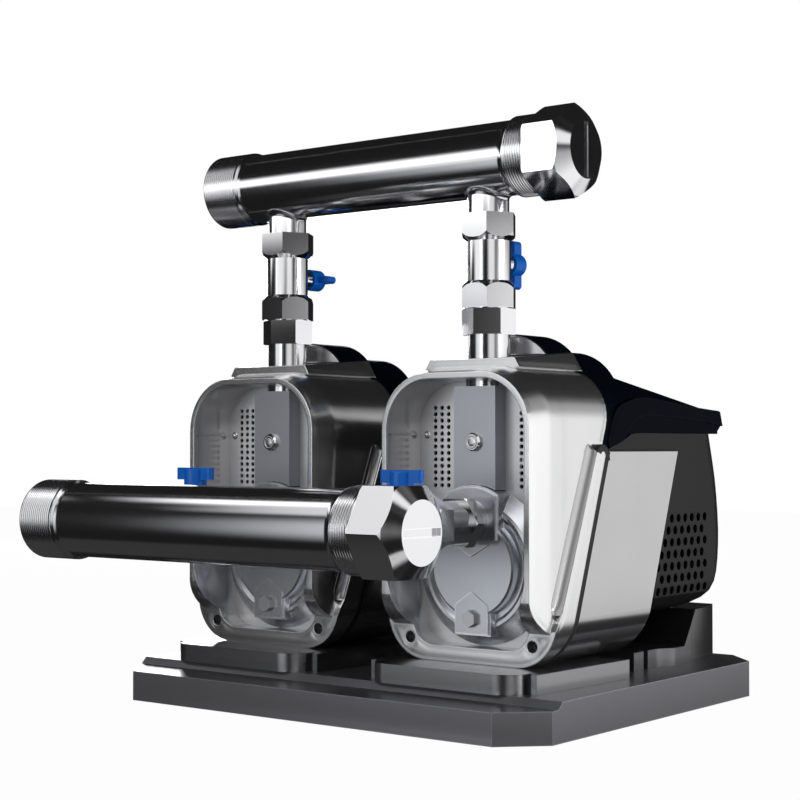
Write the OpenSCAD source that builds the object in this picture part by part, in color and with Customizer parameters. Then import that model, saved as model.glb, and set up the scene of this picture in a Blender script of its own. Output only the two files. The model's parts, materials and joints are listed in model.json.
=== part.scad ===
// Twin booster pump set: two close-coupled pumps on one base plate, joined by a suction
// header in front and a discharge header above, with a ball valve on each branch.
// Millimetres, +Z up, X along the headers, the front faces -Y, and the origin is the
// middle of the base plate's underside.

/* [Base plate] */
// Width of the base plate along the headers
base_w = 440; // [400:1:520]
// Depth of the base plate from front to back
base_d = 380; // [376:1:440]
// Thickness under the pumps
base_t = 30.5; // [26:0.5:40]
// Thickness of the low ledge along the front
ledge_t = 25; // [18:0.5:25]
// Depth of the front ledge
ledge_d = 40.5; // [20:0.5:42]
// Size of the cut corners
corner_cut = 32; // [10:1:45]
// Wall of the cored underside
base_wall = 7; // [5:0.5:12]

/* [Pumps] */
// Distance between the two pump centre lines
pump_pitch = 218; // [200:1:240]
// Height of the pump shaft above the floor
shaft_z = 122; // [118:0.5:126]
// Height of the casing's underside above the base plate
foot_h = 15.5; // [12:0.5:20]

/* [Headers] */
// Outer radius of both header tubes
header_r = 30.15; // [26:0.05:34]
// Wall of the header tubes
header_wall = 3.6; // [2:0.1:5]
// Radius of the threaded collars at the header ends
collar_r = 32.6; // [32:0.1:36]
// Length of a threaded collar
collar_len = 37.5; // [25:0.5:45]
// Length of the suction header
suction_len = 369.5; // [360:0.5:400]
// Sideways offset of the suction header's middle
suction_shift = -22.8; // [-30:0.1:10]
// Length of the discharge header
discharge_len = 362.6; // [360:0.1:400]
// Sideways offset of the discharge header's middle
discharge_shift = -1; // [-20:1:10]
// Distance of the suction header in front of the origin
suction_y = -266.8; // [-290:0.1:-264]
// Height of the suction header and the pump inlets
suction_z = 158.3; // [154:0.1:162]
// Distance of the discharge header from the origin
discharge_y = -79.5; // [-82:0.1:-77]
// Height of the discharge header
discharge_z = 450.3; // [446:0.1:480]
// Size across the flats of the header caps
cap_af = 65.4; // [65:0.1:75]
// Length of the hexagon of a header cap
cap_hex_len = 30.5; // [24:0.5:40]
// Length of the cone that ends a header cap
cap_nose = 8.7; // [5:0.1:14]
// Radius of the flat end of a header cap
cap_face_r = 21.8; // [15:0.1:26]
// Depth that a header end is screwed into its cap
cap_screwed = 18; // [12:0.5:20]
// Radius of the turned end inside a cap
spigot_r = 29.8; // [29:0.1:30]

/* [Valves and fittings] */
// Length of a ball valve over its hexagons
valve_len = 76.5; // [70:0.5:80]
// Size across the flats of the valve hexagons
valve_af = 41.5; // [40.5:0.1:46]
// Radius of the round valve body
valve_r = 18; // [17:0.1:20]
// Length of a valve hexagon with its chamfer
valve_hex_len = 22.5; // [18:0.5:24]
// Radius of the ball
ball_r = 14.6; // [13.5:0.1:15]
// Radius of the water way through the ball
port_r = 9.5; // [7:0.1:10]
// Height of the top of the handle above the pipe axis
handle_top = 42.5; // [40:0.5:50]
// Length of the butterfly handle
handle_len = 40; // [34:1:50]
// Radius of the handle's hub
hub_r = 9.5; // [8:0.1:11]
// Radius of the valve stem
stem_r = 4; // [3:0.1:5]
// Radius of the header branch nipples
branch_r = 16.6; // [15:0.1:17]
// Radius of the nipples that leave the pumps
nipple_r = 17.3; // [15:0.1:17.5]
// Wall of every nipple
nipple_wall = 3.3; // [2.5:0.1:4]
// Depth that a nipple is screwed into its socket
thread_in = 14; // [10:0.5:16]
// Size across the flats of the union nuts
nut_af = 38.3; // [37.5:0.1:41]
// Length of a union nut
nut_len = 21; // [16:0.5:24]

/* [Casing] */
// Half width of the hood and the upper casing
hood_half = 76; // [74:0.5:79]
// Half width of the flange around the front plate
flange_half = 82; // [80:0.5:86]
// Height of the casing's top above the floor
casing_top = 282; // [276:0.5:286]
// Half width of the hood's front rim
rim_half = 71.5; // [69:0.5:73]
// Height of the top of the front rim
rim_top = 277; // [272:0.5:280]
// Front face of the hood's rim
rim_y = -129.3; // [-136:0.1:-126]
// Front face of the lower front plate
plate_y = -107; // [-112:0.1:-106]
// Front face of the perforated panel
panel_y = -86; // [-88:0.1:-84]
// Depth of the round pump head in front of the panel
head_depth = 18; // [15:0.1:22]
// Lean of the seams between the casings, as run over rise
seam_lean = 0.364; // [0.3:0.005:0.4]
// Wall of the moulded casings
shell = 3; // [2.5:0.1:4]
// Rearmost face of the motor cover
rear_y = 185; // [178:0.5:189]
// Height of the underside of the motor cover
rear_bottom = 77; // [76:0.5:80]
// Diameter of the cooling holes in the motor cover
vent_d = 7.4; // [5:0.1:8]
// Distance between neighbouring cooling holes
vent_pitch = 11.8; // [10.5:0.1:13]
// Diameter of the holes in the front panel
perf_d = 3.6; // [2:0.1:4.5]
// Height between rows of the front panel holes
perf_pitch = 5.3; // [5:0.1:5.5]

/* [Motor and impeller] */
// Radius of the motor shaft
shaft_r = 8; // [7:0.1:9]
// Outer radius of the stator core
stator_r = 48; // [42:0.5:48]
// Outer radius of the rotor
rotor_r = 28; // [24:0.5:32]
// Length of the stator and rotor cores
core_len = 54; // [40:1:56]
// Outer radius of the impeller
impeller_r = 42; // [34:0.5:42]
// Number of impeller vanes
vane_count = 6; // [5:1:8]
// Outer radius of the cooling fan
fan_r = 37; // [28:0.5:38]
// Number of fan blades
blade_count = 9; // [6:1:12]

/* [Hidden] */
$fn = 64;
ring_steps = 12;
// Clearance between fixed parts that are screwed or pressed together
fit = 0.05;
// Radial clearance of every turning or sliding fit
run = 0.06;
// Visible gap between neighbouring casings
seam = 0.4;
// Overlap used only inside one piece and by cutting tools
eps = 0.5;

case_bottom = base_t + foot_h;
seam_z = 215.5;
seam_y = -24.4;
corner_r = 38;
crown_r = 48;
header_bore = header_r - header_wall;
valve_hex_r = valve_af / 2 / cos(30);
discharge_gap = 13.6;
valve_z = discharge_z - header_r - discharge_gap - valve_len / 2;
nut_gap = 0.5;
suction_valve_y = -194.5;
inlet_face_y = -106;
inlet_nut_y = -127;
inlet_nut_len = 11;
inlet_in = 9;
stem_seat = valve_r + 6.5;
handle_bottom = stem_seat + 2;
head_y = panel_y - head_depth;
head_r = 63.2;
head_body_r = 58;
chamber_r = impeller_r + 4;
head_back_y = -62;
riser_foot_z = 177;
riser_boss_top = 184;
check_seat_z = casing_top + 14;
bracket_t = 8;
tube_front_y = head_back_y + bracket_t;
tube_r = stator_r + 3;
tube_back_y = 30;
stator_y = -42;
bearing_r = 17.5;
bearing_w = 10;
front_bearing_y = -56;
rear_bearing_y = 24;
shaft_front_y = -88;
shaft_back_y = 76;
fan_y = 54;
fan_len = 18;
arch_r = crown_r - 0.5;
platform_z = 280.5;
fillet_w = 9;
fillet_lean = 0.4234;
rear_side = [[0, 101], [1.9, 67], [3, 53.5], [5, 40], [8.5, 26.5], [14, 16], [22, 8.4], [31, 4],
             [42, 1.6], [54, 0.3], [67, 0], [82, 1.2], [97, 3.2], [112, 6], [125, 9.5], [138, 13.5]];
plug_z = 222;
drain_z = 81.5;
plate_screw_x = 59.4;
plate_screw_z = 63.4;
lid_z = 229.5;
gland_x = 14;
gland_z = 134;
cover_half = hood_half + 1.5;

// Common end points of the outer tangent from circle a to circle b, both [x, y, r]
function tangent(a, b) =
    let (
        d = norm([b[0] - a[0], b[1] - a[1]]),
        t = atan2(b[1] - a[1], b[0] - a[0]) - acos((a[2] - b[2]) / d)
    )
    [[a[0] + a[2] * cos(t), a[1] + a[2] * sin(t)], [b[0] + b[2] * cos(t), b[1] + b[2] * sin(t)]];

// Points along an arc
function arc(cx, cy, r, a0, a1, n) =
    [for (i = [0:n]) [cx + r * cos(a0 + (a1 - a0) * i / n), cy + r * sin(a0 + (a1 - a0) * i / n)]];

// Direction from circle a's centre to where the outer tangent to circle b leaves it
function leave(a, b) =
    atan2(b[1] - a[1], b[0] - a[0]) - acos((a[2] - b[2]) / norm([b[0] - a[0], b[1] - a[1]]));

// The same outline as stretched() as plain points, for shapes that are blended into others
function ring(circles) =
    let (n = len(circles))
    [for (i = [0:n - 1])
        let (
            c = circles[i],
            a0 = leave(circles[(i + n - 1) % n], c),
            a1 = leave(c, circles[(i + 1) % n])
        )
        each arc(c[0], c[1], c[2], a0, a1 < a0 ? a1 + 360 : a1, ring_steps)];

// Outline stretched around circles that are listed anticlockwise
module stretched(circles) {
    n = len(circles);
    for (c = circles)
        translate([c[0], c[1]])
            circle(r = c[2]);
    polygon([for (i = [0:n - 1]) each tangent(circles[i], circles[(i + 1) % n])]);
}

// Front-view outline, x by z, carried from y0 to y1
module along_y(y0, y1) {
    translate([0, y1, 0])
        rotate([90, 0, 0])
            linear_extrude(y1 - y0)
                children();
}

// Side-view outline, y by z, carried from x0 to x1
module along_x(x0, x1) {
    translate([x0, 0, 0])
        rotate([90, 0, 90])
            linear_extrude(x1 - x0)
                children();
}

// Children on both pump centre lines
module at_pumps() {
    for (side = [-1, 1])
        translate([side * pump_pitch / 2, 0, 0])
            children();
}

// Children on one pump centre line
module at_pump(side) {
    translate([side * pump_pitch / 2, 0, 0])
        children();
}

// Round bar along Y from y0 to y1 at height z
module rod_y(r, y0, y1, z = shaft_z) {
    translate([0, y1, z])
        rotate([90, 0, 0])
            cylinder(r = r, h = y1 - y0);
}

// Hexagonal prism along Z from its af size
module hexagon(af, h, turn = 0) {
    rotate([0, 0, turn])
        cylinder(r = af / 2 / cos(30), h = h, $fn = 6);
}

// Outline of the base plate, grown or shrunk by d
module base_outline(d = 0) {
    w = base_w / 2 + d;
    l = base_d / 2 + d;
    c = corner_cut + d * (2 - sqrt(2));
    polygon([[-w + c, -l], [w - c, -l], [w, -l + c], [w, l - c],
             [w - c, l], [-w + c, l], [-w, l - c], [-w, -l + c]]);
}

module base_plate() {
    front = -base_d / 2;
    color([0.33, 0.33, 0.35])
    difference() {
        intersection() {
            linear_extrude(base_t)
                base_outline();
            along_x(-base_w / 2, base_w / 2)
                polygon([[front, 0], [front, ledge_t], [front + ledge_d, ledge_t],
                         [front + ledge_d + base_t - ledge_t, base_t],
                         [base_d / 2, base_t], [base_d / 2, 0]]);
        }
        difference() {
            translate([0, 0, -eps])
                linear_extrude(ledge_t - base_wall + eps)
                    base_outline(-base_wall * 2);
            translate([-base_wall, -base_d / 2, -eps])
                cube([base_wall * 2, base_d, base_t]);
            for (i = [-3:3])
                translate([-base_w / 2, (i * 45) - base_wall / 2, -eps])
                    cube([base_w, base_wall, base_t]);
            foot_bolt_places()
                translate([0, 0, -eps])
                    cylinder(r = 13, h = base_t);
        }
        foot_bolt_places() {
            translate([0, 0, -eps])
                cylinder(r = 8, h = 9 + eps);
            cylinder(r = 4 + fit, h = base_t + eps);
        }
    }
}

// Four bolts under each pump: two in the front foot and two in the rear foot
module foot_bolt_places() {
    at_pumps()
        for (x = [-45, 45], y = [-100, 140])
            translate([x, y, 0])
                children();
}

module foot_bolts() {
    color([0.7, 0.7, 0.72])
    foot_bolt_places() {
        difference() {
            translate([0, 0, 1])
                cylinder(r = 6.5, h = 8);
            translate([0, 0, 1 - eps])
                hexagon(6, 4);
        }
        translate([0, 0, 9 - eps])
            cylinder(r = 4, h = base_t + 2 + eps);
    }
}

// Header tube along X with a collar at each end and two branch holes
module header_tube(length, shift, branch_turn) {
    x0 = shift - length / 2;
    difference() {
        translate([x0, 0, 0])
            rotate([0, 90, 0]) {
                cylinder(r = header_r, h = length - collar_len + eps);
                cylinder(r = collar_r, h = collar_len);
                translate([0, 0, length - collar_len])
                    cylinder(r = collar_r, h = collar_len - cap_screwed);
                translate([0, 0, length - cap_screwed - eps])
                    cylinder(r = spigot_r, h = cap_screwed + eps);
            }
        translate([x0 - eps, 0, 0])
            rotate([0, 90, 0])
                cylinder(r = header_bore, h = length + 2 * eps);
        at_pumps()
            rotate([branch_turn, 0, 0])
                cylinder(r = branch_r - nipple_wall, h = header_r + 5);
    }
}

module suction_header() {
    color([0.78, 0.78, 0.8])
    translate([0, suction_y, suction_z])
        header_tube(suction_len, suction_shift, -90);
}

module discharge_header() {
    color([0.78, 0.78, 0.8])
    translate([0, discharge_y, discharge_z])
        header_tube(discharge_len, discharge_shift, 180);
}

// Hexagonal end cap pointing along +Z from its open face, with a slot across its nose
module header_cap() {
    corner = cap_af / 2 / cos(30);
    length = cap_hex_len + cap_nose;
    slot_w = 6;
    slot_deep = 4;
    difference() {
        intersection() {
            hexagon(cap_af, length);
            rotate_extrude()
                polygon([[0, 0], [corner - 1.5, 0], [corner + 0.1, 1.2],
                         [corner + 0.1, cap_hex_len - 2], [corner - 2, cap_hex_len],
                         [cap_face_r + 1.5, length], [0, length]]);
        }
        translate([0, 0, -eps])
            cylinder(r = spigot_r + fit, h = cap_screwed + fit + eps);
        translate([-cap_face_r, -slot_w / 2, length - slot_deep])
            cube([cap_face_r * 2, slot_w, slot_deep + eps]);
    }
}

// One cap on the right-hand end of each header
module header_caps() {
    color([0.8, 0.8, 0.82]) {
        translate([suction_shift + suction_len / 2 - cap_screwed, suction_y, suction_z])
            rotate([0, 90, 0])
                rotate([0, 0, 90])
                    header_cap();
        translate([discharge_shift + discharge_len / 2 - cap_screwed, discharge_y, discharge_z])
            rotate([0, 90, 0])
                header_cap();
    }
}

// Pipe along +Z with nipple walls
module pipe(r, h) {
    difference() {
        cylinder(r = r, h = h);
        translate([0, 0, -eps])
            cylinder(r = r - nipple_wall, h = h + 2 * eps);
    }
}

// Space that a header with its right-hand collar takes
module header_space(length, shift) {
    x1 = shift + length / 2;
    rotate([0, 90, 0]) {
        translate([0, 0, -pump_pitch])
            cylinder(r = header_r + fit, h = pump_pitch + x1);
        translate([0, 0, x1 - collar_len - fit])
            cylinder(r = collar_r + fit, h = collar_len);
    }
}

// Branch nipples welded on the headers, saddled on the tube and screwed into the valves
module branch_nipples() {
    reach = discharge_gap + thread_in;
    color([0.76, 0.76, 0.78]) {
        difference() {
            at_pumps()
                translate([0, discharge_y, discharge_z - header_r - reach])
                    pipe(branch_r, reach + header_r / 2);
            translate([0, discharge_y, discharge_z])
                header_space(discharge_len, discharge_shift);
        }
        difference() {
            at_pumps()
                translate([0, suction_y + header_r / 2, suction_z])
                    rotate([-90, 0, 0])
                        pipe(branch_r, suction_valve_y - valve_len / 2 + thread_in - suction_y - header_r / 2);
            translate([0, suction_y, suction_z])
                header_space(suction_len, suction_shift);
        }
    }
}

// Valve placed on a vertical branch (stem to the back) or a horizontal one (stem up)
module on_discharge() {
    translate([0, discharge_y, valve_z])
        children();
}

module on_suction() {
    translate([0, suction_valve_y, suction_z])
        rotate([90, 0, 0])
            children();
}

// Chamfered hexagon on the end of a valve, its flat end at z = 0
module valve_hexagon(turn) {
    flat = valve_hex_len - 7;
    intersection() {
        hexagon(valve_af, valve_hex_len, turn);
        rotate_extrude()
            polygon([[0, 0], [valve_hex_r + 0.1, 0], [valve_hex_r + 0.1, flat],
                     [valve_hex_r - 1.8, flat + 3], [valve_r - 0.5, valve_hex_len],
                     [0, valve_hex_len]]);
    }
}

// Ball valve body along Z with its stem neck towards +Y
module valve_body(turn) {
    half = valve_len / 2;
    difference() {
        union() {
            translate([0, 0, -half])
                valve_hexagon(turn);
            translate([0, 0, half])
                mirror([0, 0, 1])
                    valve_hexagon(turn);
            translate([0, 0, valve_hex_len - half - eps])
                cylinder(r = valve_r, h = valve_len - 2 * valve_hex_len + 2 * eps);
            rotate([-90, 0, 0])
                cylinder(r = stem_r + 4, h = stem_seat);
        }
        translate([0, 0, -half - eps])
            cylinder(r = nipple_r + fit, h = thread_in + eps);
        translate([0, 0, half - thread_in])
            cylinder(r = branch_r + fit, h = thread_in + eps);
        translate([0, 0, -half])
            cylinder(r = port_r + 0.5, h = valve_len);
        sphere(r = ball_r + 0.3);
        rotate([-90, 0, 0])
            cylinder(r = stem_r + run, h = stem_seat + eps);
    }
}

// Ball with its stem, the water way along Z
module ball_and_stem() {
    difference() {
        union() {
            sphere(r = ball_r);
            rotate([-90, 0, 0])
                cylinder(r = stem_r, h = handle_bottom);
            translate([-stem_r * 0.6, 0, -stem_r * 0.6])
                cube([stem_r * 1.2, handle_top - 2, stem_r * 1.2]);
        }
        translate([0, 0, -ball_r - eps])
            cylinder(r = port_r, h = 2 * ball_r + 2 * eps);
    }
}

// Butterfly handle whose bar runs along Z
module butterfly() {
    bar_t = 6.6;
    bar_bottom = handle_top - 10;
    square_hole = stem_r * 1.2 + 2 * fit;
    difference() {
        union() {
            translate([0, handle_bottom, 0])
                rotate([-90, 0, 0])
                    cylinder(r = hub_r, h = handle_top - handle_bottom - 1.5);
            translate([-bar_t / 2, bar_bottom, -handle_len / 2 + bar_t / 2])
                cube([bar_t, 10, handle_len - bar_t]);
            for (z = [-1, 1])
                translate([0, bar_bottom, z * (handle_len - bar_t) / 2])
                    rotate([-90, 0, 0])
                        cylinder(r = bar_t / 2, h = 10);
        }
        translate([-square_hole / 2, handle_bottom - eps, -square_hole / 2])
            cube([square_hole, handle_top - handle_bottom - 2 + eps + fit, square_hole]);
    }
}

// Turned a quarter when the valve is closed
module valve_turn(closed) {
    rotate([0, closed ? 90 : 0, 0])
        children();
}

module discharge_valve() {
    color([0.8, 0.8, 0.82])
    on_discharge()
        valve_body(0);
}

module suction_valve() {
    color([0.8, 0.8, 0.82])
    on_suction()
        valve_body(30);
}

module discharge_ball(closed) {
    color([0.85, 0.85, 0.86])
    on_discharge()
        valve_turn(closed)
            ball_and_stem();
}

module suction_ball() {
    color([0.85, 0.85, 0.86])
    on_suction()
        valve_turn(true)
            ball_and_stem();
}

module discharge_handle(closed) {
    color([0.0, 0.3, 0.68])
    on_discharge()
        valve_turn(closed)
            butterfly();
}

module suction_handle() {
    color([0.0, 0.3, 0.68])
    on_suction()
        valve_turn(true)
            butterfly();
}

// Union nut along +Z with two chamfered ends
module union_nut(length, r, turn) {
    corner = nut_af / 2 / cos(30);
    difference() {
        intersection() {
            hexagon(nut_af, length, turn);
            rotate_extrude()
                polygon([[0, 0], [corner - 1, 0], [corner + 0.1, 0.8], [corner + 0.1, length - 0.8],
                         [corner - 1, length], [0, length]]);
        }
        translate([0, 0, -eps])
            cylinder(r = r + fit, h = length + 2 * eps);
    }
}

// A nut under each discharge valve and a shorter one at each pump inlet
module union_nuts() {
    color([0.78, 0.78, 0.8])
    at_pumps() {
        translate([0, discharge_y, valve_z - valve_len / 2 - nut_gap - nut_len])
            union_nut(nut_len, nipple_r, 30);
        translate([0, inlet_nut_y, suction_z])
            rotate([-90, 0, 0])
                union_nut(inlet_nut_len, nipple_r, 0);
    }
}

// Riser from the pump head to the discharge valve, with the check valve seat inside
module discharge_nipple() {
    top = valve_z - valve_len / 2 + thread_in;
    color([0.76, 0.76, 0.78])
    translate([0, discharge_y, 0])
        difference() {
            translate([0, 0, riser_foot_z])
                cylinder(r = nipple_r, h = top - riser_foot_z);
            translate([0, 0, check_seat_z])
                cylinder(r = nipple_r - nipple_wall, h = top - check_seat_z + eps);
            translate([0, 0, riser_foot_z - eps])
                cylinder(r = nipple_r - nipple_wall - 4, h = check_seat_z - riser_foot_z + 2 * eps);
            translate([0, -nipple_r - eps, plug_z])
                rotate([-90, 0, 0])
                    cylinder(r = 4 + fit, h = nipple_r / 2);
        }
}

// Lift check disc that rests on the seat in the riser, guided by its stem's four wings
module check_disc() {
    disc_r = nipple_r - nipple_wall - 1.5;
    guide_r = nipple_r - nipple_wall - 4 - 0.4;
    color([0.72, 0.6, 0.3])
    translate([0, discharge_y, check_seat_z]) {
        cylinder(r = disc_r, h = 3);
        translate([0, 0, -9])
            intersection() {
                cylinder(r = guide_r, h = 9 + eps);
                for (a = [0, 90])
                    rotate([0, 0, a])
                        translate([-guide_r, -0.9, 0])
                            cube([2 * guide_r, 1.8, 9 + eps]);
            }
    }
}

// Suction nipple from the valve to the pump inlet
module suction_nipple() {
    start = suction_valve_y + valve_len / 2 - thread_in;
    color([0.76, 0.76, 0.78])
    translate([0, start, suction_z])
        rotate([-90, 0, 0])
            pipe(nipple_r, inlet_face_y + inlet_in - start);
}

// Slanted line between two casings, as the side-view Y at height z
function seam_at(z, y0) = y0 + (z - seam_z) * seam_lean;

// Circles of the hood's front-view outline, square below and round above
function hood_circles(half, top, crown, bottom = 66) =
    [[-half + 6, bottom + 6, 6], [half - 6, bottom + 6, 6],
     [half - crown, top - crown, crown], [crown - half, top - crown, crown]];

// Front-view outline of the lower casings with round bottom corners
module case_outline(half, bottom, r, top) {
    stretched([[-half + r, bottom + r, r], [half - r, bottom + r, r],
               [half - 2, top - 2, 2], [2 - half, top - 2, 2]]);
}

// Circles of the recess inside the hood, narrower at the bottom
function recess_circles(half, top, crown, low) =
    [[-36, 79.6, 21], [36, 79.6, 21], [low - 6, 113, 6],
     [half - crown, top - crown, crown], [crown - half, top - crown, crown],
     [6 - low, 113, 6]];

// Side view of the band that joins the housing to the motor sleeve
module flange_side(back) {
    r = 10 - back / 2;
    top_z = 211;
    top_y = seam_at(top_z, seam_y - back) - r / cos(20);
    polygon(concat([[plate_y, case_bottom], [seam_at(case_bottom, seam_y - back), case_bottom]],
                   arc(top_y, top_z, r, -20, 156, 11),
                   [[-99, 89], [-104, 82.5], [plate_y, 76]]));
}

// Sloping foot of the flange on the hood's flank, a leaning prism beside its front edge
module flange_fillet() {
    multmatrix([[1, 0, 0, 0], [0, 1, fillet_lean, -99 - 89 * fillet_lean], [0, 0, 1, 0],
                [0, 0, 0, 1]])
        translate([0, 0, 92])
            linear_extrude(114)
                polygon([[hood_half - 2, -fillet_w], [hood_half - 0.3, -fillet_w], [hood_half + 1, -4.5],
                         [hood_half + 3, -1.5], [flange_half - 1, 1], [hood_half - 2, 1]]);
}

// Side view of the hood with its lower front edge swept back to a tip
module hood_side() {
    polygon([[rim_y - 1, 300], [rim_y - 1, 102], [-129.3, 99], [-128, 94], [-125.2, 88.6],
             [-121, 83.6], [-115.6, 79], [-109.5, 75.2], [-104.5, 72.8], [-84, 72.8],
             [-34, 205], [-28, 224], [-24.4, 233], [-21, 243], [-18.6, 252], [-17, 262],
             [-14.4, 272], [-11, 283], [-6, 300]]);
}

// Raised platform on the hood that the riser comes up through, grown upwards by up
module platform(up = 0) {
    intersection() {
        along_y(-104, -11)
            polygon([[-45.9, platform_z], [45.9, platform_z], [36, 297 + up], [-36, 297 + up]]);
        along_x(-50, 50)
            polygon([[-104, 270], [-11, 270], [-11, 295.8 + up], [-104, 288.5 + up]]);
    }
}

module front_housing() {
    flare_y = -106;
    color([0.76, 0.76, 0.77])
    difference() {
        union() {
            intersection() {
                hull() {
                    along_y(rim_y, rim_y + 0.2)
                        polygon(ring(hood_circles(rim_half, rim_top, 45)));
                    along_y(flare_y, -5)
                        polygon(ring(hood_circles(hood_half, casing_top, crown_r)));
                }
                along_x(-hood_half - 1, hood_half + 1)
                    hood_side();
            }
            intersection() {
                along_y(-120, 0)
                    case_outline(flange_half, case_bottom, corner_r, 221);
                along_x(-flange_half, flange_half)
                    flange_side(2.6);
            }
            intersection() {
                along_y(-100, 0)
                    case_outline(flange_half - 2.8, case_bottom + 2.8, corner_r - 2.8, 218);
                along_x(-flange_half, flange_half)
                    polygon([[-88, 40], [seam_at(40, seam_y), 40], [seam_at(213, seam_y), 213],
                             [-47, 213]]);
            }
            for (side = [-1, 1])
                scale([side, 1, 1])
                    flange_fillet();
            platform();
        }
        hull() {
            along_y(rim_y - 1, rim_y)
                polygon(ring(recess_circles(rim_half - 4.4, rim_top - 4.6, 41, rim_half - 5)));
            along_y(panel_y - 0.1, panel_y)
                polygon(ring(recess_circles(64.8, 270.5, 37, 64.8)));
        }
        along_y(panel_y, 0)
            back_room();
        translate([0, discharge_y, 200])
            cylinder(r = nipple_r + fit, h = 120);
        for (side = [-1, 1]) {
            rod_at(side * plate_screw_x, plate_screw_z, 4.7, -120, -95);
            rod_at(side * plate_screw_x, plate_screw_z, 2.5 + fit, -100, -40);
        }
    }
}

// Outline of the room behind the panel, clear of the two plate screws
module back_room() {
    stretched([[-33, 76, 24], [33, 76, 24], [62, 118, 10], [28, 234, 44], [-28, 234, 44],
               [-62, 118, 10]]);
}

// Round bar along Y at x, z
module rod_at(x, z, r, y0, y1) {
    translate([x, 0, 0])
        rod_y(r, y0, y1, z);
}

module front_panel() {
    color([0.62, 0.63, 0.66])
    difference() {
        along_y(panel_y, panel_y + 2)
            stretched(recess_circles(68, 273.5, 40, 68));
        rod_y(head_body_r + fit, panel_y - eps, panel_y + 2 + eps);
        along_y(panel_y - eps, panel_y + 2 + eps)
            polygon([[-20, 150], [20, 150], [20, riser_boss_top + 0.5], [18, 190],
                     [18, 280], [-18, 280], [-18, 190], [-20, riser_boss_top + 0.5]]);
        for (side = [-1, 1], column = [35.8, 42.5, 49.2], row = [0:12])
            rod_at(side * column, 186.6 + row * perf_pitch, perf_d / 2,
                   panel_y - eps, panel_y + 2 + eps);
    }
}

// Channel-shaped cover over the riser pipe
module riser_cover() {
    half = 20.3;
    front = -100.3;
    wall = 2;
    color([0.55, 0.57, 0.62])
    difference() {
        translate([-half, front, 170])
            cube([2 * half, panel_y - front, 266.7 - 170]);
        translate([wall - half, front + wall, 160])
            cube([2 * half - 2 * wall, panel_y - front, 266.7 - 160 - wall]);
        rod_y(48.2, front - eps, panel_y + eps, 140);
        translate([0, discharge_y, 250])
            cylinder(r = nipple_r + fit, h = 30);
        rod_y(4 + fit, front - eps, panel_y, plug_z);
    }
}

// Shield-shaped boss around the pump inlet
module inlet_shield(grow) {
    intersection() {
        polygon([[0, 130.7 - grow * 1.2], [23.9 + grow, 144.5 - grow * 0.6], [23.9 + grow, 190],
                 [-23.9 - grow, 190], [-23.9 - grow, 144.5 - grow * 0.6]]);
        translate([0, 140])
            circle(r = 46 + grow);
    }
}

// House-shaped boss around the drain plug
module drain_house(grow) {
    polygon([[-16 - grow, 69.5 - grow], [16 + grow, 69.5 - grow], [16 + grow, 92 + grow * 0.6],
             [0, 102.8 + grow * 1.2], [-16 - grow, 92 + grow * 0.6]]);
}

module pump_head() {
    rim = head_r;
    color([0.7, 0.72, 0.74])
    difference() {
        union() {
            translate([0, 0, shaft_z])
                rotate([90, 0, 0])
                    rotate_extrude()
                        polygon([[0, -head_back_y], [head_body_r, -head_back_y],
                                 [head_body_r, -panel_y], [rim, -panel_y], [rim, 1 - panel_y],
                                 [51.5, 10.4 - panel_y], [50, 12 - panel_y], [47.5, 12 - panel_y],
                                 [44.5, 10 - panel_y], [41, 10 - panel_y],
                                 [39.5, -head_y - 1], [37.7, -head_y], [0, -head_y]]);
            along_y(inlet_face_y, panel_y)
                inlet_shield(0);
            along_y(inlet_face_y + 2.4, panel_y)
                inlet_shield(1.6);
            along_y(-105, panel_y)
                drain_house(0);
            along_y(-102.8, panel_y)
                drain_house(1.4);
            translate([0, discharge_y, 165])
                cylinder(r = 19.5, h = riser_boss_top - 165);
        }
        rod_y(chamber_r, panel_y, head_back_y + eps);
        rod_y(13, -97, panel_y + eps);
        translate([-12, -97, shaft_z])
            cube([24, 6, suction_z - shaft_z]);
        rod_at(0, suction_z, nipple_r + fit, inlet_face_y - eps, inlet_face_y + inlet_in);
        translate([0, discharge_y, riser_foot_z])
            cylinder(r = nipple_r + fit, h = 20);
        rod_y(stator_r + 2 + fit, head_back_y, tube_front_y);
        translate([0, discharge_y, 150])
            cylinder(r = nipple_r - nipple_wall - 4, h = riser_foot_z - 149);
        rod_at(0, drain_z, 5 + fit, -106, panel_y + eps);
    }
}

module drain_plugs() {
    color([0.72, 0.73, 0.75])
    at_pumps()
        translate([0, -105, drain_z]) {
            rotate([90, 0, 0])
                hexagon(12, 5, 30);
            rod_at(0, 0, 5, -eps, 12);
        }
}

module vent_plugs() {
    color([0.85, 0.85, 0.86])
    at_pumps()
        translate([0, -100.3, plug_z]) {
            rotate([90, 0, 0])
                rotate_extrude()
                    polygon([[0, 0], [7.4, 0], [7.4, 2.6], [6.2, 3.8], [0, 3.8]]);
            rod_at(0, 0, 4, -eps, 8);
        }
}

// Recessed screws that hold each front plate to its motor sleeve
module housing_screws() {
    color([0.25, 0.25, 0.27])
    at_pumps()
        for (side = [-1, 1])
            translate([side * plate_screw_x, 0, plate_screw_z])
                difference() {
                    union() {
                        rod_at(0, 0, 4.4, -100, -95);
                        rod_at(0, 0, 2.5, -95 - eps, -64);
                    }
                    translate([0, -100 - eps, 0])
                        rotate([-90, 0, 0])
                            hexagon(4, 3 + eps);
                }
}

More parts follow.
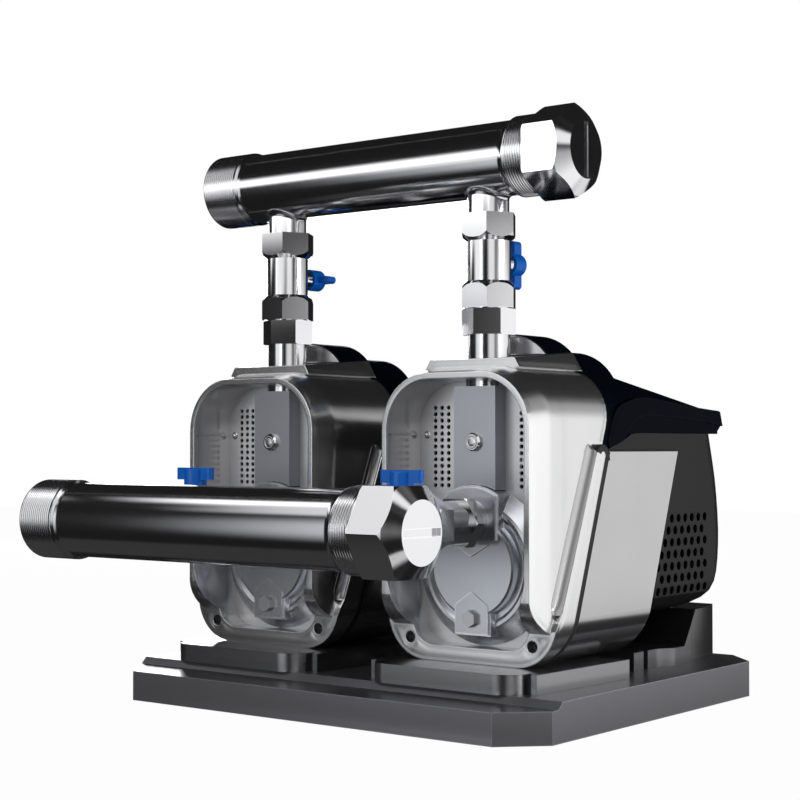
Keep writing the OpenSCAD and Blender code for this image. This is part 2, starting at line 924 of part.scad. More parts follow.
module motor_sleeve() {
    half = flange_half - 1.5;
    bottom = case_bottom + 1;
    r = corner_r - 1;
    color([0.83, 0.83, 0.84])
    difference() {
        union() {
            difference() {
                along_y(-100, 100)
                    case_outline(half, bottom, r, seam_z);
                along_y(-101, 101)
                    stretched([[-half + r, bottom + r, r - shell], [half - r, bottom + r, r - shell],
                               [half - shell - 6, 230, 6], [shell + 6 - half, 230, 6]]);
            }
            intersection() {
                along_y(tube_front_y, tube_back_y)
                    case_outline(half - 1, bottom + 1, r - 1, 214);
                union() {
                    rod_y(tube_r, tube_front_y, tube_back_y);
                    for (z = [shaft_z, 64])
                        translate([-half, -100, z - 2])
                            cube([2 * half, 200, 4]);
                    for (x = [-36, 36])
                        translate([x - 2, -100, bottom])
                            cube([4, 200, shaft_z - bottom]);
                }
            }
            for (side = [-1, 1])
                rod_at(side * plate_screw_x, plate_screw_z, 9, -85, -58);
        }
        rod_y(stator_r + fit, -110, 110);
        for (side = [-1, 1])
            rod_at(side * plate_screw_x, plate_screw_z, 2.5 + fit, -110, -62);
        along_x(-half - 1, half + 1)
            polygon([[-130, 40], [seam_at(40, seam_y + seam), 40],
                     [seam_at(230, seam_y + seam), 230], [-130, 230]]);
        along_x(-half - 1, half + 1)
            polygon([[seam_at(40, 87.4), 40], [130, 40], [130, 230], [seam_at(230, 87.4), 230]]);
    }
}

// End shields of both motors: the front one closes the pump chamber
module motor_brackets() {
    hub_r = bearing_r + 5;
    front_end = front_bearing_y + bearing_w;
    rear_end = rear_bearing_y + bearing_w;
    color([0.68, 0.69, 0.7])
    at_pumps() {
        difference() {
            union() {
                rod_y(stator_r + 2, head_back_y, tube_front_y);
                rod_y(hub_r, head_back_y, front_end);
            }
            rod_y(14 + fit, head_back_y - eps, head_back_y + 5);
            rod_y(shaft_r + 3, head_back_y, front_bearing_y + eps);
            rod_y(bearing_r + fit, front_bearing_y, front_end + eps);
        }
        difference() {
            union() {
                rod_y(stator_r, tube_back_y - 8, tube_back_y);
                rod_y(hub_r, tube_back_y - 8, rear_end + 3);
            }
            rod_y(bearing_r + fit, tube_back_y - 8 - eps, rear_end);
            rod_y(shaft_r + 3, rear_end - eps, rear_end + 3 + eps);
            for (a = [30:60:330])
                rod_at(35 * cos(a), shaft_z + 35 * sin(a), 6, tube_back_y - 9, tube_back_y + 1);
        }
    }
}

// Ball bearing rings with shielded faces
module bearings() {
    color([0.6, 0.61, 0.63])
    at_pumps()
        for (y = [front_bearing_y, rear_bearing_y])
            difference() {
                rod_y(bearing_r, y, y + bearing_w);
                rod_y(shaft_r + run, y - eps, y + bearing_w + eps);
                for (face = [y - eps, y + bearing_w - 0.6])
                    difference() {
                        rod_y(bearing_r - 2.2, face, face + 0.6 + eps);
                        rod_y(shaft_r + 2.2, face - 1, face + 3);
                    }
            }
}

module shaft_seals() {
    color([0.12, 0.12, 0.13])
    at_pumps()
        difference() {
            rod_y(14, head_back_y, head_back_y + 5);
            rod_y(shaft_r + run, head_back_y - eps, head_back_y + 5 + eps);
        }
}

module motor_shaft() {
    color([0.7, 0.71, 0.73])
    rod_y(shaft_r, shaft_front_y, shaft_back_y);
}

module rotor() {
    color([0.45, 0.45, 0.48])
    difference() {
        union() {
            rod_y(rotor_r, stator_y, stator_y + core_len);
            rod_y(rotor_r - 2, stator_y - 3, stator_y + core_len + 3);
        }
        rod_y(shaft_r + fit, stator_y - 6, stator_y + core_len + 6);
    }
}

module stator() {
    bore = rotor_r + 0.5;
    color([0.42, 0.3, 0.2])
    difference() {
        union() {
            rod_y(stator_r, stator_y, stator_y + core_len);
            rod_y(44, stator_y - 8, stator_y + core_len + 8);
        }
        rod_y(bore, stator_y - 9, stator_y + core_len + 9);
        for (y = [stator_y - 9, stator_y + core_len])
            rod_y(bore + 3, y, y + 9);
        for (a = [0:15:345])
            translate([0, 0, shaft_z])
                rotate([0, a, 0])
                    translate([0, stator_y - 1, -1])
                        cube([bore + 6, core_len + 2, 2]);
    }
}

// Closed impeller: two shrouds with curved vanes between them
module impeller() {
    back = -66;
    front = -83;
    color([0.75, 0.62, 0.35])
    difference() {
        union() {
            rod_y(impeller_r, back - 3, back);
            difference() {
                rod_y(impeller_r, front, front + 3);
                rod_y(17, front - 1, front + 4);
            }
            rod_y(12.5, front, back);
            difference() {
                rod_y(18.5, front - 2.2, front + eps);
                rod_y(17, front - 3, front + 1);
            }
            for (i = [0:vane_count - 1])
                translate([0, 0, shaft_z])
                    rotate([0, i * 360 / vane_count, 0])
                        along_y(front + 2, back - 2)
                            vane();
        }
        rod_y(shaft_r + fit, front - 3, back + 1);
    }
}

// Backward-curved vane in the plane of the impeller
module vane() {
    r = impeller_r - 0.5;
    lead = [for (t = [0:6]) let (q = 11.5 + (r - 11.5) * t / 6, a = -11 * t) [q * cos(a), q * sin(a)]];
    tail = [for (t = [6:-1:0]) let (q = 11.5 + (r - 11.5) * t / 6, a = -11 * t + 120 / q)
            [q * cos(a), q * sin(a)]];
    polygon(concat(lead, tail));
}

module cooling_fan() {
    color([0.1, 0.1, 0.11])
    difference() {
        union() {
            rod_y(13, fan_y, fan_y + fan_len);
            rod_y(fan_r, fan_y, fan_y + 2.5);
            for (i = [0:blade_count - 1])
                translate([0, fan_y + 1, shaft_z])
                    rotate([0, (i + 0.5) * 360 / blade_count, 0])
                        translate([11, 0, -1.1])
                            cube([fan_r - 13, fan_len - 3, 2.2]);
        }
        rod_y(shaft_r + fit, fan_y - 1, fan_y + fan_len + 1);
    }
}

// Half width of the motor cover at height z, rounded in at the bottom
function rear_half(z) = cover_half - 20 + sqrt(400 - pow(max(0, rear_bottom + 20 - z), 2));

// Plan outline of the motor cover that reaches back to y, shrunk by d
function rear_slice(half, y, d) =
    concat([[d - half, -60], [half - d, -60]], arc(half - 25, y - 25, 25 - d, 0, 90, 8),
           arc(25 - half, y - 25, 25 - d, 90, 180, 8));

// Solid form of the motor cover, shrunk by d on the outside
module rear_form(d) {
    stations = concat([for (s = rear_side) [rear_bottom + s[0], rear_y - s[1]]],
                      [[lid_z, rear_y - 18]]);
    slices = [for (s = stations) rear_slice(rear_half(s[0]), s[1], d)];
    lift = [for (s = stations) d * max(0, 1 - (s[0] - rear_bottom) / 60)];
    n = len(slices[0]);
    m = len(slices);
    polyhedron(
        points = [for (i = [0:m - 1]) each [for (p = slices[i]) [p[0], p[1], stations[i][0] + lift[i]]]],
        faces = concat(
            [[for (j = [0:n - 1]) j], [for (j = [n - 1:-1:0]) (m - 1) * n + j]],
            [for (i = [0:m - 2], j = [0:n - 1]) [i * n + j, (i + 1) * n + j, (i + 1) * n + (j + 1) % n]],
            [for (i = [0:m - 2], j = [0:n - 1]) [i * n + j, (i + 1) * n + (j + 1) % n, i * n + (j + 1) % n]]
        )
    );
}

module rear_cover() {
    color([0.3, 0.3, 0.32])
    difference() {
        rear_form(0);
        difference() {
            rear_form(shell);
            translate([-100, -100, lid_z - shell])
                cube([200, 300, 40]);
        }
        along_x(-90, 90)
            polygon([[-70, 60], [seam_at(60, 87.4 + seam), 60], [seam_at(seam_z, 87.4 + seam), seam_z],
                     [-22, seam_z], [-24, 216], [0, 222.5], [14, 228.5], [22, lid_z],
                     [22, 240], [-70, 240]]);
        for (row = [0:6])
            for (i = [0:7]) {
                y = 58 + i * vent_pitch + (row % 2) * vent_pitch / 2;
                z = 95.5 + row * vent_pitch * cos(30);
                if (y > seam_at(z, 87.4) + 6 && y < 146)
                    translate([-90, y, z])
                        rotate([0, 90, 0])
                            cylinder(r = vent_d / 2, h = 180);
            }
        for (x = [-gland_x, gland_x])
            rod_at(x, gland_z, 7 + fit, 170, 200);
    }
}

// Two cable glands low on the back of each motor cover
module cable_glands() {
    color([0.12, 0.12, 0.13])
    at_pumps()
        for (x = [-gland_x, gland_x])
            translate([x, 0, gland_z])
                difference() {
                    union() {
                        rod_at(0, 0, 7, 176, rear_y + 4.6);
                        rod_at(0, 0, 9, 176, 180);
                        translate([0, rear_y + 4.6, 0])
                            rotate([90, 0, 0])
                                hexagon(17, 4.4);
                    }
                    rod_at(0, 0, 4, 175, 191);
                }
}

// Solid form of the sloping lid, shrunk by d on every side
module lid_form(d) {
    hull() {
        along_y(-30 + d, -11)
            polygon(ring(hood_circles(hood_half - d, casing_top + 0.8 - d, crown_r - d, 200)));
        along_y(39, 40)
            polygon(ring(hood_circles(hood_half - d, 278.5 - d, 44 - d, 200)));
        along_y(171 - d, 172 - d)
            polygon(ring(hood_circles(hood_half - 2 - d, 250.5 - d, 12, 200)));
    }
}

module top_cover() {
    color([0.04, 0.05, 0.09])
    difference() {
        union() {
            intersection() {
                lid_form(0);
                along_x(-90, 90)
                    polygon([[-28.3, 221.5], [-27, 225.2], [-23.8, 233.6], [-20.5, 243.4],
                             [-18.1, 252.4], [-16.5, 262.4], [-13.9, 272.4],
                             [-11.5, platform_z - 0.3], [-10.5, platform_z - 0.3],
                             [-10.5, 300], [180, 300], [180, lid_z], [22, lid_z], [14, 228.5],
                             [0, 222.5], [-23.6, 216.1]]);
            }
            along_x(-cover_half, cover_half)
                polygon([[-22, 222], [-16, 238], [-10, 248], [0, 253.2], [20, 258], [40, 259.5],
                         [127, 252.5], [168, 250], [171, 249], [175.5, 236], [167, lid_z],
                         [100, lid_z], [22, lid_z], [14, 228.5], [0, 222.5], [-20, 217]]);
            intersection() {
                rod_y(arch_r, -50, -9, 263.5);
                along_x(-60, 60)
                    polygon([[-50, 293], [-11, 295.9], [-9, 295.9], [-9, 320], [-50, 320]]);
            }
            intersection() {
                rod_y(arch_r, -10.5, 48, 252);
                translate([-60, -20, 265])
                    cube([120, 80, 60]);
            }
        }
        for (side = [-1, 1])
            scale([side, 1, 1])
                along_x(cover_half - 2.6, 90)
                    polygon([[2, 215], [3, 222], [9, 230.5], [18, 238], [28, 242.6], [44, 244.6],
                             [60, 244], [140, 240.5], [180, 236], [180, 215]]);
        difference() {
            lid_form(shell);
            translate([-100, -100, 150])
                cube([200, 126, 200]);
        }
    }
}

// Cast foot under the pump end: a round-cornered nose between two side blocks
module front_foot() {
    side = flange_half - 2;
    color([0.3, 0.3, 0.32])
    difference() {
        union() {
            translate([0, 0, base_t])
                linear_extrude(foot_h) {
                    stretched([[-57, -134, 14], [50, -128, 20], [68.5, -101, 2], [-69, -101, 2]]);
                    polygon([[-75, -126], [75, -126], [75, -132], [side, -132], [side + 6, -5],
                             [-side - 6, -5], [-side, -132], [-75, -132]]);
                }
            translate([-30, -64, case_bottom - eps])
                cube([60, 54, 1 + eps]);
        }
        foot_pockets(-126, -10, 76);
        for (x = [-45, 45])
            translate([x, -100, base_t - eps])
                cylinder(r = 4 + fit, h = 11 + eps + 1);
    }
}

// Cores in the underside of a foot, beside its bolts
module foot_pockets(y0, y1, half) {
    for (x0 = [-half, -30, 60])
        translate([x0, y0 + 6, base_t - eps])
            cube([x0 == -30 ? 60 : half - 60, y1 - y0 - 12, foot_h - 6 + eps]);
}

// Outline of the rear foot, which widens beside the motor and narrows again behind
module rear_foot_outline() {
    front = 67.5;
    wide = 76.5;
    bend = 200;
    half = concat([[front, 34]],
                  [for (t = [0:8]) [(front + wide) / 2 - (wide - front) / 2 * cos(t * 22.5), 70 + t * 2.5]],
                  arc(wide - bend, 108, bend, 0, 19, 8), [[62, 184], [55, 187]]);
    polygon(concat(half, [for (i = [len(half) - 1:-1:0]) [-half[i][0], half[i][1]]]));
}

// Cast foot that carries the back of the motor cover
module rear_foot() {
    top = 76;
    color([0.32, 0.32, 0.34])
    difference() {
        union() {
            translate([0, 0, base_t])
                linear_extrude(foot_h)
                    rear_foot_outline();
            intersection() {
                translate([0, 0, base_t])
                    linear_extrude(top - base_t)
                        rear_foot_outline();
                along_x(-80, 80)
                    polygon([[104.5, case_bottom - eps], [104.5, case_bottom], [122, 70.5],
                             [126, top], [184, top], [186, top - 1], [187, top - 3],
                             [187, case_bottom - eps]]);
            }
            along_x(-40, 40)
                polygon([[127, 70], [127, 79.633], [131.5, 80], [145, 82], [150, 83.296],
                         [150, 70]]);
        }
        for (x = [-69, 62])
            translate([x, 50, base_t - eps])
                cube([7, 7, foot_h + 2 * eps]);
        translate([-30, 44, base_t - eps])
            cube([60, 133, foot_h - 6 + eps]);
        for (x = [-45, 45])
            translate([x, 140, base_t - eps])
                cylinder(r = 4 + fit, h = 11 + eps + 1);
    }
}

base_plate();
suction_header();
discharge_header();
header_caps();
union_nuts();
branch_nipples();
drain_plugs();
vent_plugs();
bearings();
shaft_seals();
motor_brackets();
foot_bolts();
housing_screws();
cable_glands();
at_pump(-1) front_housing();  // left_front_housing
at_pump(-1) front_panel();  // left_front_panel
at_pump(-1) riser_cover();  // left_riser_cover
at_pump(-1) pump_head();  // left_pump_head
at_pump(-1) motor_sleeve();  // left_motor_sleeve
at_pump(-1) top_cover();  // left_top_cover
at_pump(-1) rear_cover();  // left_rear_cover
at_pump(-1) front_foot();  // left_front_foot
at_pump(-1) rear_foot();  // left_rear_foot
at_pump(-1) impeller();  // left_impeller
at_pump(-1) motor_shaft();  // left_motor_shaft
at_pump(-1) rotor();  // left_rotor
at_pump(-1) stator();  // left_stator
at_pump(-1) cooling_fan();  // left_cooling_fan
at_pump(-1) suction_nipple();  // left_suction_nipple
at_pump(-1) discharge_nipple();  // left_discharge_nipple
at_pump(-1) suction_valve();  // left_suction_valve
at_pump(-1) suction_ball();  // left_suction_ball
at_pump(-1) suction_handle();  // left_suction_handle
at_pump(-1) discharge_valve();  // left_discharge_valve
at_pump(-1) discharge_ball(true);  // left_discharge_ball
at_pump(-1) discharge_handle(true);  // left_discharge_handle
at_pump(-1) check_disc();  // left_check_disc
at_pump(1) front_housing();  // right_front_housing
at_pump(1) front_panel();  // right_front_panel
at_pump(1) riser_cover();  // right_riser_cover
at_pump(1) pump_head();  // right_pump_head
at_pump(1) motor_sleeve();  // right_motor_sleeve
at_pump(1) top_cover();  // right_top_cover
at_pump(1) rear_cover();  // right_rear_cover
at_pump(1) front_foot();  // right_front_foot
at_pump(1) rear_foot();  // right_rear_foot
at_pump(1) impeller();  // right_impeller
at_pump(1) motor_shaft();  // right_motor_shaft
at_pump(1) rotor();  // right_rotor
at_pump(1) stator();  // right_stator
at_pump(1) cooling_fan();  // right_cooling_fan
at_pump(1) suction_nipple();  // right_suction_nipple
at_pump(1) discharge_nipple();  // right_discharge_nipple
at_pump(1) suction_valve();  // right_suction_valve
at_pump(1) suction_ball();  // right_suction_ball
at_pump(1) suction_handle();  // right_suction_handle
at_pump(1) discharge_valve();  // right_discharge_valve
at_pump(1) discharge_ball(false);  // right_discharge_ball
at_pump(1) discharge_handle(false);  // right_discharge_handle
at_pump(1) check_disc();  // right_check_disc
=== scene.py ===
# %% [markdown]
# A twin booster pump set, dressed for a studio picture.
# Two close-coupled pumps stand on one base plate. A suction header feeds them from the
# front and a discharge header collects the water above. The solids come from the packed
# CAD frame. This file adds small detail on their surfaces, such as threads, welds and
# near-black strips of painted shade in the joints, and then the finishes and the light.

# %% Load the imported frame
import json
import math

import bpy
import numpy as np
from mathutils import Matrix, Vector

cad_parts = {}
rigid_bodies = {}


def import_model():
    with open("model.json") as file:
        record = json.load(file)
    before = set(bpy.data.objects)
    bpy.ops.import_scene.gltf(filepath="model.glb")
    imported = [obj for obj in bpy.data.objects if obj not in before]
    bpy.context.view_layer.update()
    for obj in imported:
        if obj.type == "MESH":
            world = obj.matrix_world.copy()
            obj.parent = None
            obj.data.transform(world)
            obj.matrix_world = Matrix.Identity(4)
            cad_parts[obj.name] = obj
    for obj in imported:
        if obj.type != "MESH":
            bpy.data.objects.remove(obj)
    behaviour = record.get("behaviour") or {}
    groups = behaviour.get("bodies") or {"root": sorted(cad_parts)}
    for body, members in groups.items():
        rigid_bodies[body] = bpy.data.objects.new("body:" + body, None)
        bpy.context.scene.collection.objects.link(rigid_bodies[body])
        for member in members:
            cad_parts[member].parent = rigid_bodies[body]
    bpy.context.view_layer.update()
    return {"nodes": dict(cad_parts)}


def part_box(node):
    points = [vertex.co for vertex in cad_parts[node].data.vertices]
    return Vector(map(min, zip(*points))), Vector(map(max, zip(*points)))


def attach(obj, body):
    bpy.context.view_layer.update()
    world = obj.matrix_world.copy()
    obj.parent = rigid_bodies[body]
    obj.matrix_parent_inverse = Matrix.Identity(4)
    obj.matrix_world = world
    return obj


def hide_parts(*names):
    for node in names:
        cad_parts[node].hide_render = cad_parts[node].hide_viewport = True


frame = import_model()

nodes = frame["nodes"]

# %% [markdown]
# The camera stands where the photographer's stood. A pump set is photographed from a
# little above the base with a long lens, so that the headers run almost straight. The
# place was found by fitting known corners of the set to the picture.

# %% Camera
scene = bpy.context.scene
camera_data = bpy.data.cameras.new("studio_camera")
camera_data.sensor_width = 36.0
camera_data.lens = 77.12
camera_data.clip_start = 0.05
camera_data.clip_end = 50.0
camera = bpy.data.objects.new("studio_camera", camera_data)
camera.location = (0.90502, -1.217619, 0.219353)
camera.rotation_euler = (math.radians(91.514), 0.0, math.radians(37.947))
scene.collection.objects.link(camera)
scene.camera = camera
scene.view_settings.view_transform = "Standard"
print("camera at", tuple(round(v, 3) for v in camera.location))

# %% [markdown]
# Every new surface here is a grid of points that numpy works out in one go. This helper
# turns such a grid into a mesh. A grid may close on itself in either direction, as a
# tube does round its axis.

# %% Grid helper
def grid_faces(rows, cols, wrap_rows=False, wrap_cols=False):
    """Quads (i, j), (i+1, j), (i+1, j+1), (i, j+1) of a grid, with wrap-around where asked."""
    i = np.arange(rows if wrap_rows else rows - 1)
    j = np.arange(cols if wrap_cols else cols - 1)
    i, j = np.meshgrid(i, j, indexing="ij")
    i1, j1 = (i + 1) % rows, (j + 1) % cols
    return np.stack([i * cols + j, i1 * cols + j, i1 * cols + j1, i * cols + j1], -1).reshape(-1, 4)


def grid_object(name, points, wrap_rows=False, wrap_cols=False, smooth=True):
    """A mesh object from points of shape (rows, cols, 3), in metres."""
    rows, cols = points.shape[:2]
    faces = grid_faces(rows, cols, wrap_rows, wrap_cols)
    mesh = bpy.data.meshes.new(name)
    mesh.from_pydata(points.reshape(-1, 3).tolist(), [], faces.tolist())
    mesh.polygons.foreach_set("use_smooth", np.full(len(mesh.polygons), smooth))
    mesh.update()
    obj = bpy.data.objects.new(name, mesh)
    scene.collection.objects.link(obj)
    return obj


def capped(rows):
    """The grid with one more row at each end, where all points meet in the middle of the end row."""
    first = np.broadcast_to(rows[0].mean(0), rows[0].shape)
    last = np.broadcast_to(rows[-1].mean(0), rows[-1].shape)
    return np.concatenate([first[None], rows, last[None]], 0)


# %% [markdown]
# A world, a material and a node group are all trees of nodes. Two helpers keep their code
# short: one empties a tree, and one adds a node together with its values and its links.

# %% Node helpers
def empty_tree(owner):
    """The node tree of a world or a material, with nothing in it."""
    owner.use_nodes = True
    owner.node_tree.nodes.clear()
    return owner.node_tree


def chain(tree, kind, settings=None, values=None, links=None):
    """A node of that kind with properties, input values and links {socket: output socket} set."""
    node = tree.nodes.new(kind)
    for key, value in (settings or {}).items():
        setattr(node, key, value)
    for key, value in (values or {}).items():
        node.inputs[key].default_value = value
    for key, source in (links or {}).items():
        tree.links.new(source, node.inputs[key])
    return node


def seen_by_eye_or_mirror(tree):
    """A socket that is 1 for camera rays and glossy rays, and 0 for the others."""
    path = chain(tree, "ShaderNodeLightPath")
    either = chain(tree, "ShaderNodeMath", {"operation": "MAXIMUM"},
                   links={0: path.outputs["Is Camera Ray"], 1: path.outputs["Is Glossy Ray"]})
    return either.outputs[0]


# A Mix node has one set of sockets for each kind of value, and only their numbers tell them apart.
vector_a, vector_b, vector_out = 4, 5, 1
colour_a, colour_b, colour_out = 6, 7, 2
print("mix sockets for vectors:", (vector_a, vector_b), "and for colours:", (colour_a, colour_b))

# %% [markdown]
# The studio comes next. Its background is pure white, and its light is weak and comes from
# everywhere. Both come from one world, which the rays tell apart: what the camera sees is
# bright, and what lights the pumps is dim.

# %% World
world = bpy.data.worlds.new("studio_world")
scene.world = world
tree = empty_tree(world)
seen = chain(tree, "ShaderNodeBackground", values={"Color": (1, 1, 1, 1), "Strength": 1.0})
fill = chain(tree, "ShaderNodeBackground", values={"Color": (0.96, 0.98, 1, 1), "Strength": 0.13})
path = chain(tree, "ShaderNodeLightPath")
shown = chain(tree, "ShaderNodeMath", {"operation": "MAXIMUM"},
              links={0: seen_by_eye_or_mirror(tree), 1: path.outputs["Is Transmission Ray"]})
mix = chain(tree, "ShaderNodeMixShader",
            links={0: shown.outputs[0], 1: fill.outputs[0], 2: seen.outputs[0]})
chain(tree, "ShaderNodeOutputWorld", links={"Surface": mix.outputs[0]})
print("world: white when seen, weak as light:", fill.inputs["Strength"].default_value)

# %% [markdown]
# The set stands on white paper. Paper alone would turn grey away from the lamps, so most of
# what the camera sees of it glows, and the small share that doesn't keeps a faint shadow.

# %% Floor that keeps the shadow
floor_half, floor_drop, glow_share = 4.0, 0.0005, 0.92
corners = np.array([[[-1, -1, 0], [1, -1, 0]], [[-1, 1, 0], [1, 1, 0]]], float) * floor_half
floor = grid_object("floor", corners - [0, 0, floor_drop], smooth=False)
floor.data.flip_normals()
floor_material = bpy.data.materials.new("white_floor")
tree = empty_tree(floor_material)
paper = chain(tree, "ShaderNodeBsdfDiffuse", values={"Color": (0.3, 0.3, 0.3, 1)})
glow = chain(tree, "ShaderNodeEmission", values={"Color": (1, 1, 1, 1), "Strength": 1.06})
share = chain(tree, "ShaderNodeMath", {"operation": "MULTIPLY"}, {1: glow_share},
              {0: seen_by_eye_or_mirror(tree)})
mix = chain(tree, "ShaderNodeMixShader",
            links={0: share.outputs[0], 1: paper.outputs[0], 2: glow.outputs[0]})
chain(tree, "ShaderNodeOutputMaterial", links={"Surface": mix.outputs[0]})
floor.data.materials.append(floor_material)
floor.visible_glossy = False
print("floor side in metres:", 2 * floor_half)

# %% [markdown]
# Four large soft lamps stand round the set. Their size gives the painted casings soft
# borders between light and dark. The lamp beside the camera only lights: reflections don't
# show it.

# %% Lamps
def soft_lamp(name, place, aim, width, height, power):
    """A rectangular area lamp at place whose -Z axis points at aim."""
    data = bpy.data.lights.new(name, "AREA")
    data.shape = "RECTANGLE"
    data.size, data.size_y = width, height
    data.energy = power
    lamp = bpy.data.objects.new(name, data)
    lamp.location = place
    way = np.array(aim, float) - np.array(place, float)
    lamp.rotation_euler = Vector(way).to_track_quat("-Z", "Y").to_euler()
    scene.collection.objects.link(lamp)
    return lamp


middle = (0.0, -0.05, 0.2)
soft_lamp("right_softbox", (2.2, 0.5, 0.35), middle, 1.2, 0.7, 30)
soft_lamp("front_softbox", (-0.6, -2.4, 0.45), middle, 1.4, 0.7, 20)
side_lamp = soft_lamp("camera_side_softbox", (1.1, -2.2, 0.5), middle, 1.0, 0.6, 8)
side_lamp.visible_glossy = False
soft_lamp("rear_softbox", (-1.9, 1.9, 0.6), middle, 1.0, 0.6, 16)
print("lamps:", len(bpy.data.lights))

# %% [markdown]
# Real metal and paint are never one flat colour. Three small node groups give the
# finishes their fine structure: grain with a slow cloudiness, brushing lines, and soft edges,
# whose mask gives the edges a lighter colour, a painted highlight, in most finishes.
# Each is built once and placed in a material with its own values.

# %% Node groups
def new_group(name, inputs, outputs):
    """A shader node group with number inputs {name: value} and outputs {name: socket type}."""
    group = bpy.data.node_groups.new(name, "ShaderNodeTree")
    for label, value in inputs.items():
        socket = group.interface.new_socket(name=label, in_out="INPUT",
                                            socket_type="NodeSocketFloat")
        socket.default_value = value
    for label, kind in outputs.items():
        group.interface.new_socket(name=label, in_out="OUTPUT", socket_type=kind)
    start = group.nodes.new("NodeGroupInput")
    end = group.nodes.new("NodeGroupOutput")
    return group, start, end


grain_group, start, end = new_group(
    "fine_grain", {"Scale": 900.0}, {"Height": "NodeSocketFloat", "Cloud": "NodeSocketFloat"}
)
where = grain_group.nodes.new("ShaderNodeTexCoord")
speckle = chain(grain_group, "ShaderNodeTexNoise", values={"Detail": 3.0, "Roughness": 0.6},
                links={"Vector": where.outputs["Object"], "Scale": start.outputs["Scale"]})
slow = chain(grain_group, "ShaderNodeTexNoise", values={"Scale": 14.0, "Detail": 2.0},
             links={"Vector": where.outputs["Object"]})
centred = chain(grain_group, "ShaderNodeMath", {"operation": "SUBTRACT"}, {1: 0.5},
                {0: speckle.outputs["Fac"]})
grain_group.links.new(centred.outputs[0], end.inputs["Height"])
grain_group.links.new(slow.outputs["Fac"], end.inputs["Cloud"])

line_group, start, end = new_group(
    "brushed_lines", {"Along X": 1.0, "Along Y": 1.0, "Along Z": 1.0}, {"Line": "NodeSocketFloat"}
)
where = line_group.nodes.new("ShaderNodeTexCoord")
stretch = chain(line_group, "ShaderNodeCombineXYZ", links={
    0: start.outputs["Along X"], 1: start.outputs["Along Y"], 2: start.outputs["Along Z"]})
scaled = chain(line_group, "ShaderNodeVectorMath", {"operation": "MULTIPLY"}, None,
               {0: where.outputs["Object"], 1: stretch.outputs[0]})
lines = chain(line_group, "ShaderNodeTexNoise", values={"Scale": 1.0, "Detail": 4.0, "Roughness": 0.7},
              links={"Vector": scaled.outputs[0]})
line_group.links.new(lines.outputs["Fac"], end.inputs["Line"])

edge_group, start, end = new_group(
    "soft_edges", {"Radius": 0.0008, "Wide": 0.0, "Gain": 6.0},
    {"Normal": "NodeSocketVector", "Edge": "NodeSocketFloat"}
)
bevel = chain(edge_group, "ShaderNodeBevel", {"samples": 6}, None, {"Radius": start.outputs["Radius"]})
true_normal = edge_group.nodes.new("ShaderNodeNewGeometry")
alike = chain(edge_group, "ShaderNodeVectorMath", {"operation": "DOT_PRODUCT"}, None,
              {0: bevel.outputs["Normal"], 1: true_normal.outputs["Normal"]})
unlike = chain(edge_group, "ShaderNodeMath", {"operation": "SUBTRACT"}, {0: 1.0},
               {1: alike.outputs["Value"]})
edge_mask = chain(edge_group, "ShaderNodeMath", {"operation": "MULTIPLY", "use_clamp": True}, None,
                  {0: unlike.outputs[0], 1: start.outputs["Gain"]})
wide = chain(edge_group, "ShaderNodeBevel", {"samples": 10}, None, {"Radius": start.outputs["Wide"]})
near = chain(edge_group, "ShaderNodeVectorMath", {"operation": "DOT_PRODUCT"}, None,
             {0: wide.outputs["Normal"], 1: true_normal.outputs["Normal"]})
gentle = chain(edge_group, "ShaderNodeMapRange", {"interpolation_type": "SMOOTHSTEP"},
               {"From Min": 0.965, "From Max": 0.985}, {"Value": near.outputs["Value"]})
blended = chain(edge_group, "ShaderNodeMix", {"data_type": "VECTOR"}, None,
                {0: gentle.outputs[0], vector_a: bevel.outputs["Normal"],
                 vector_b: wide.outputs["Normal"]})
edge_group.links.new(blended.outputs[vector_out], end.inputs["Normal"])
edge_group.links.new(edge_mask.outputs[0], end.inputs["Edge"])
print("node groups:", [g.name for g in bpy.data.node_groups])

# %% [markdown]
# Polished tube has no colour of its own: it shows the room. So a dark room is hung round
# the set for reflections alone, with white and black cards in it, and these draw the bright
# and the dark bands along the tubes. Each card fades at its rim, so that the bands have the
# soft borders that a real cloth or a lit wall gives.

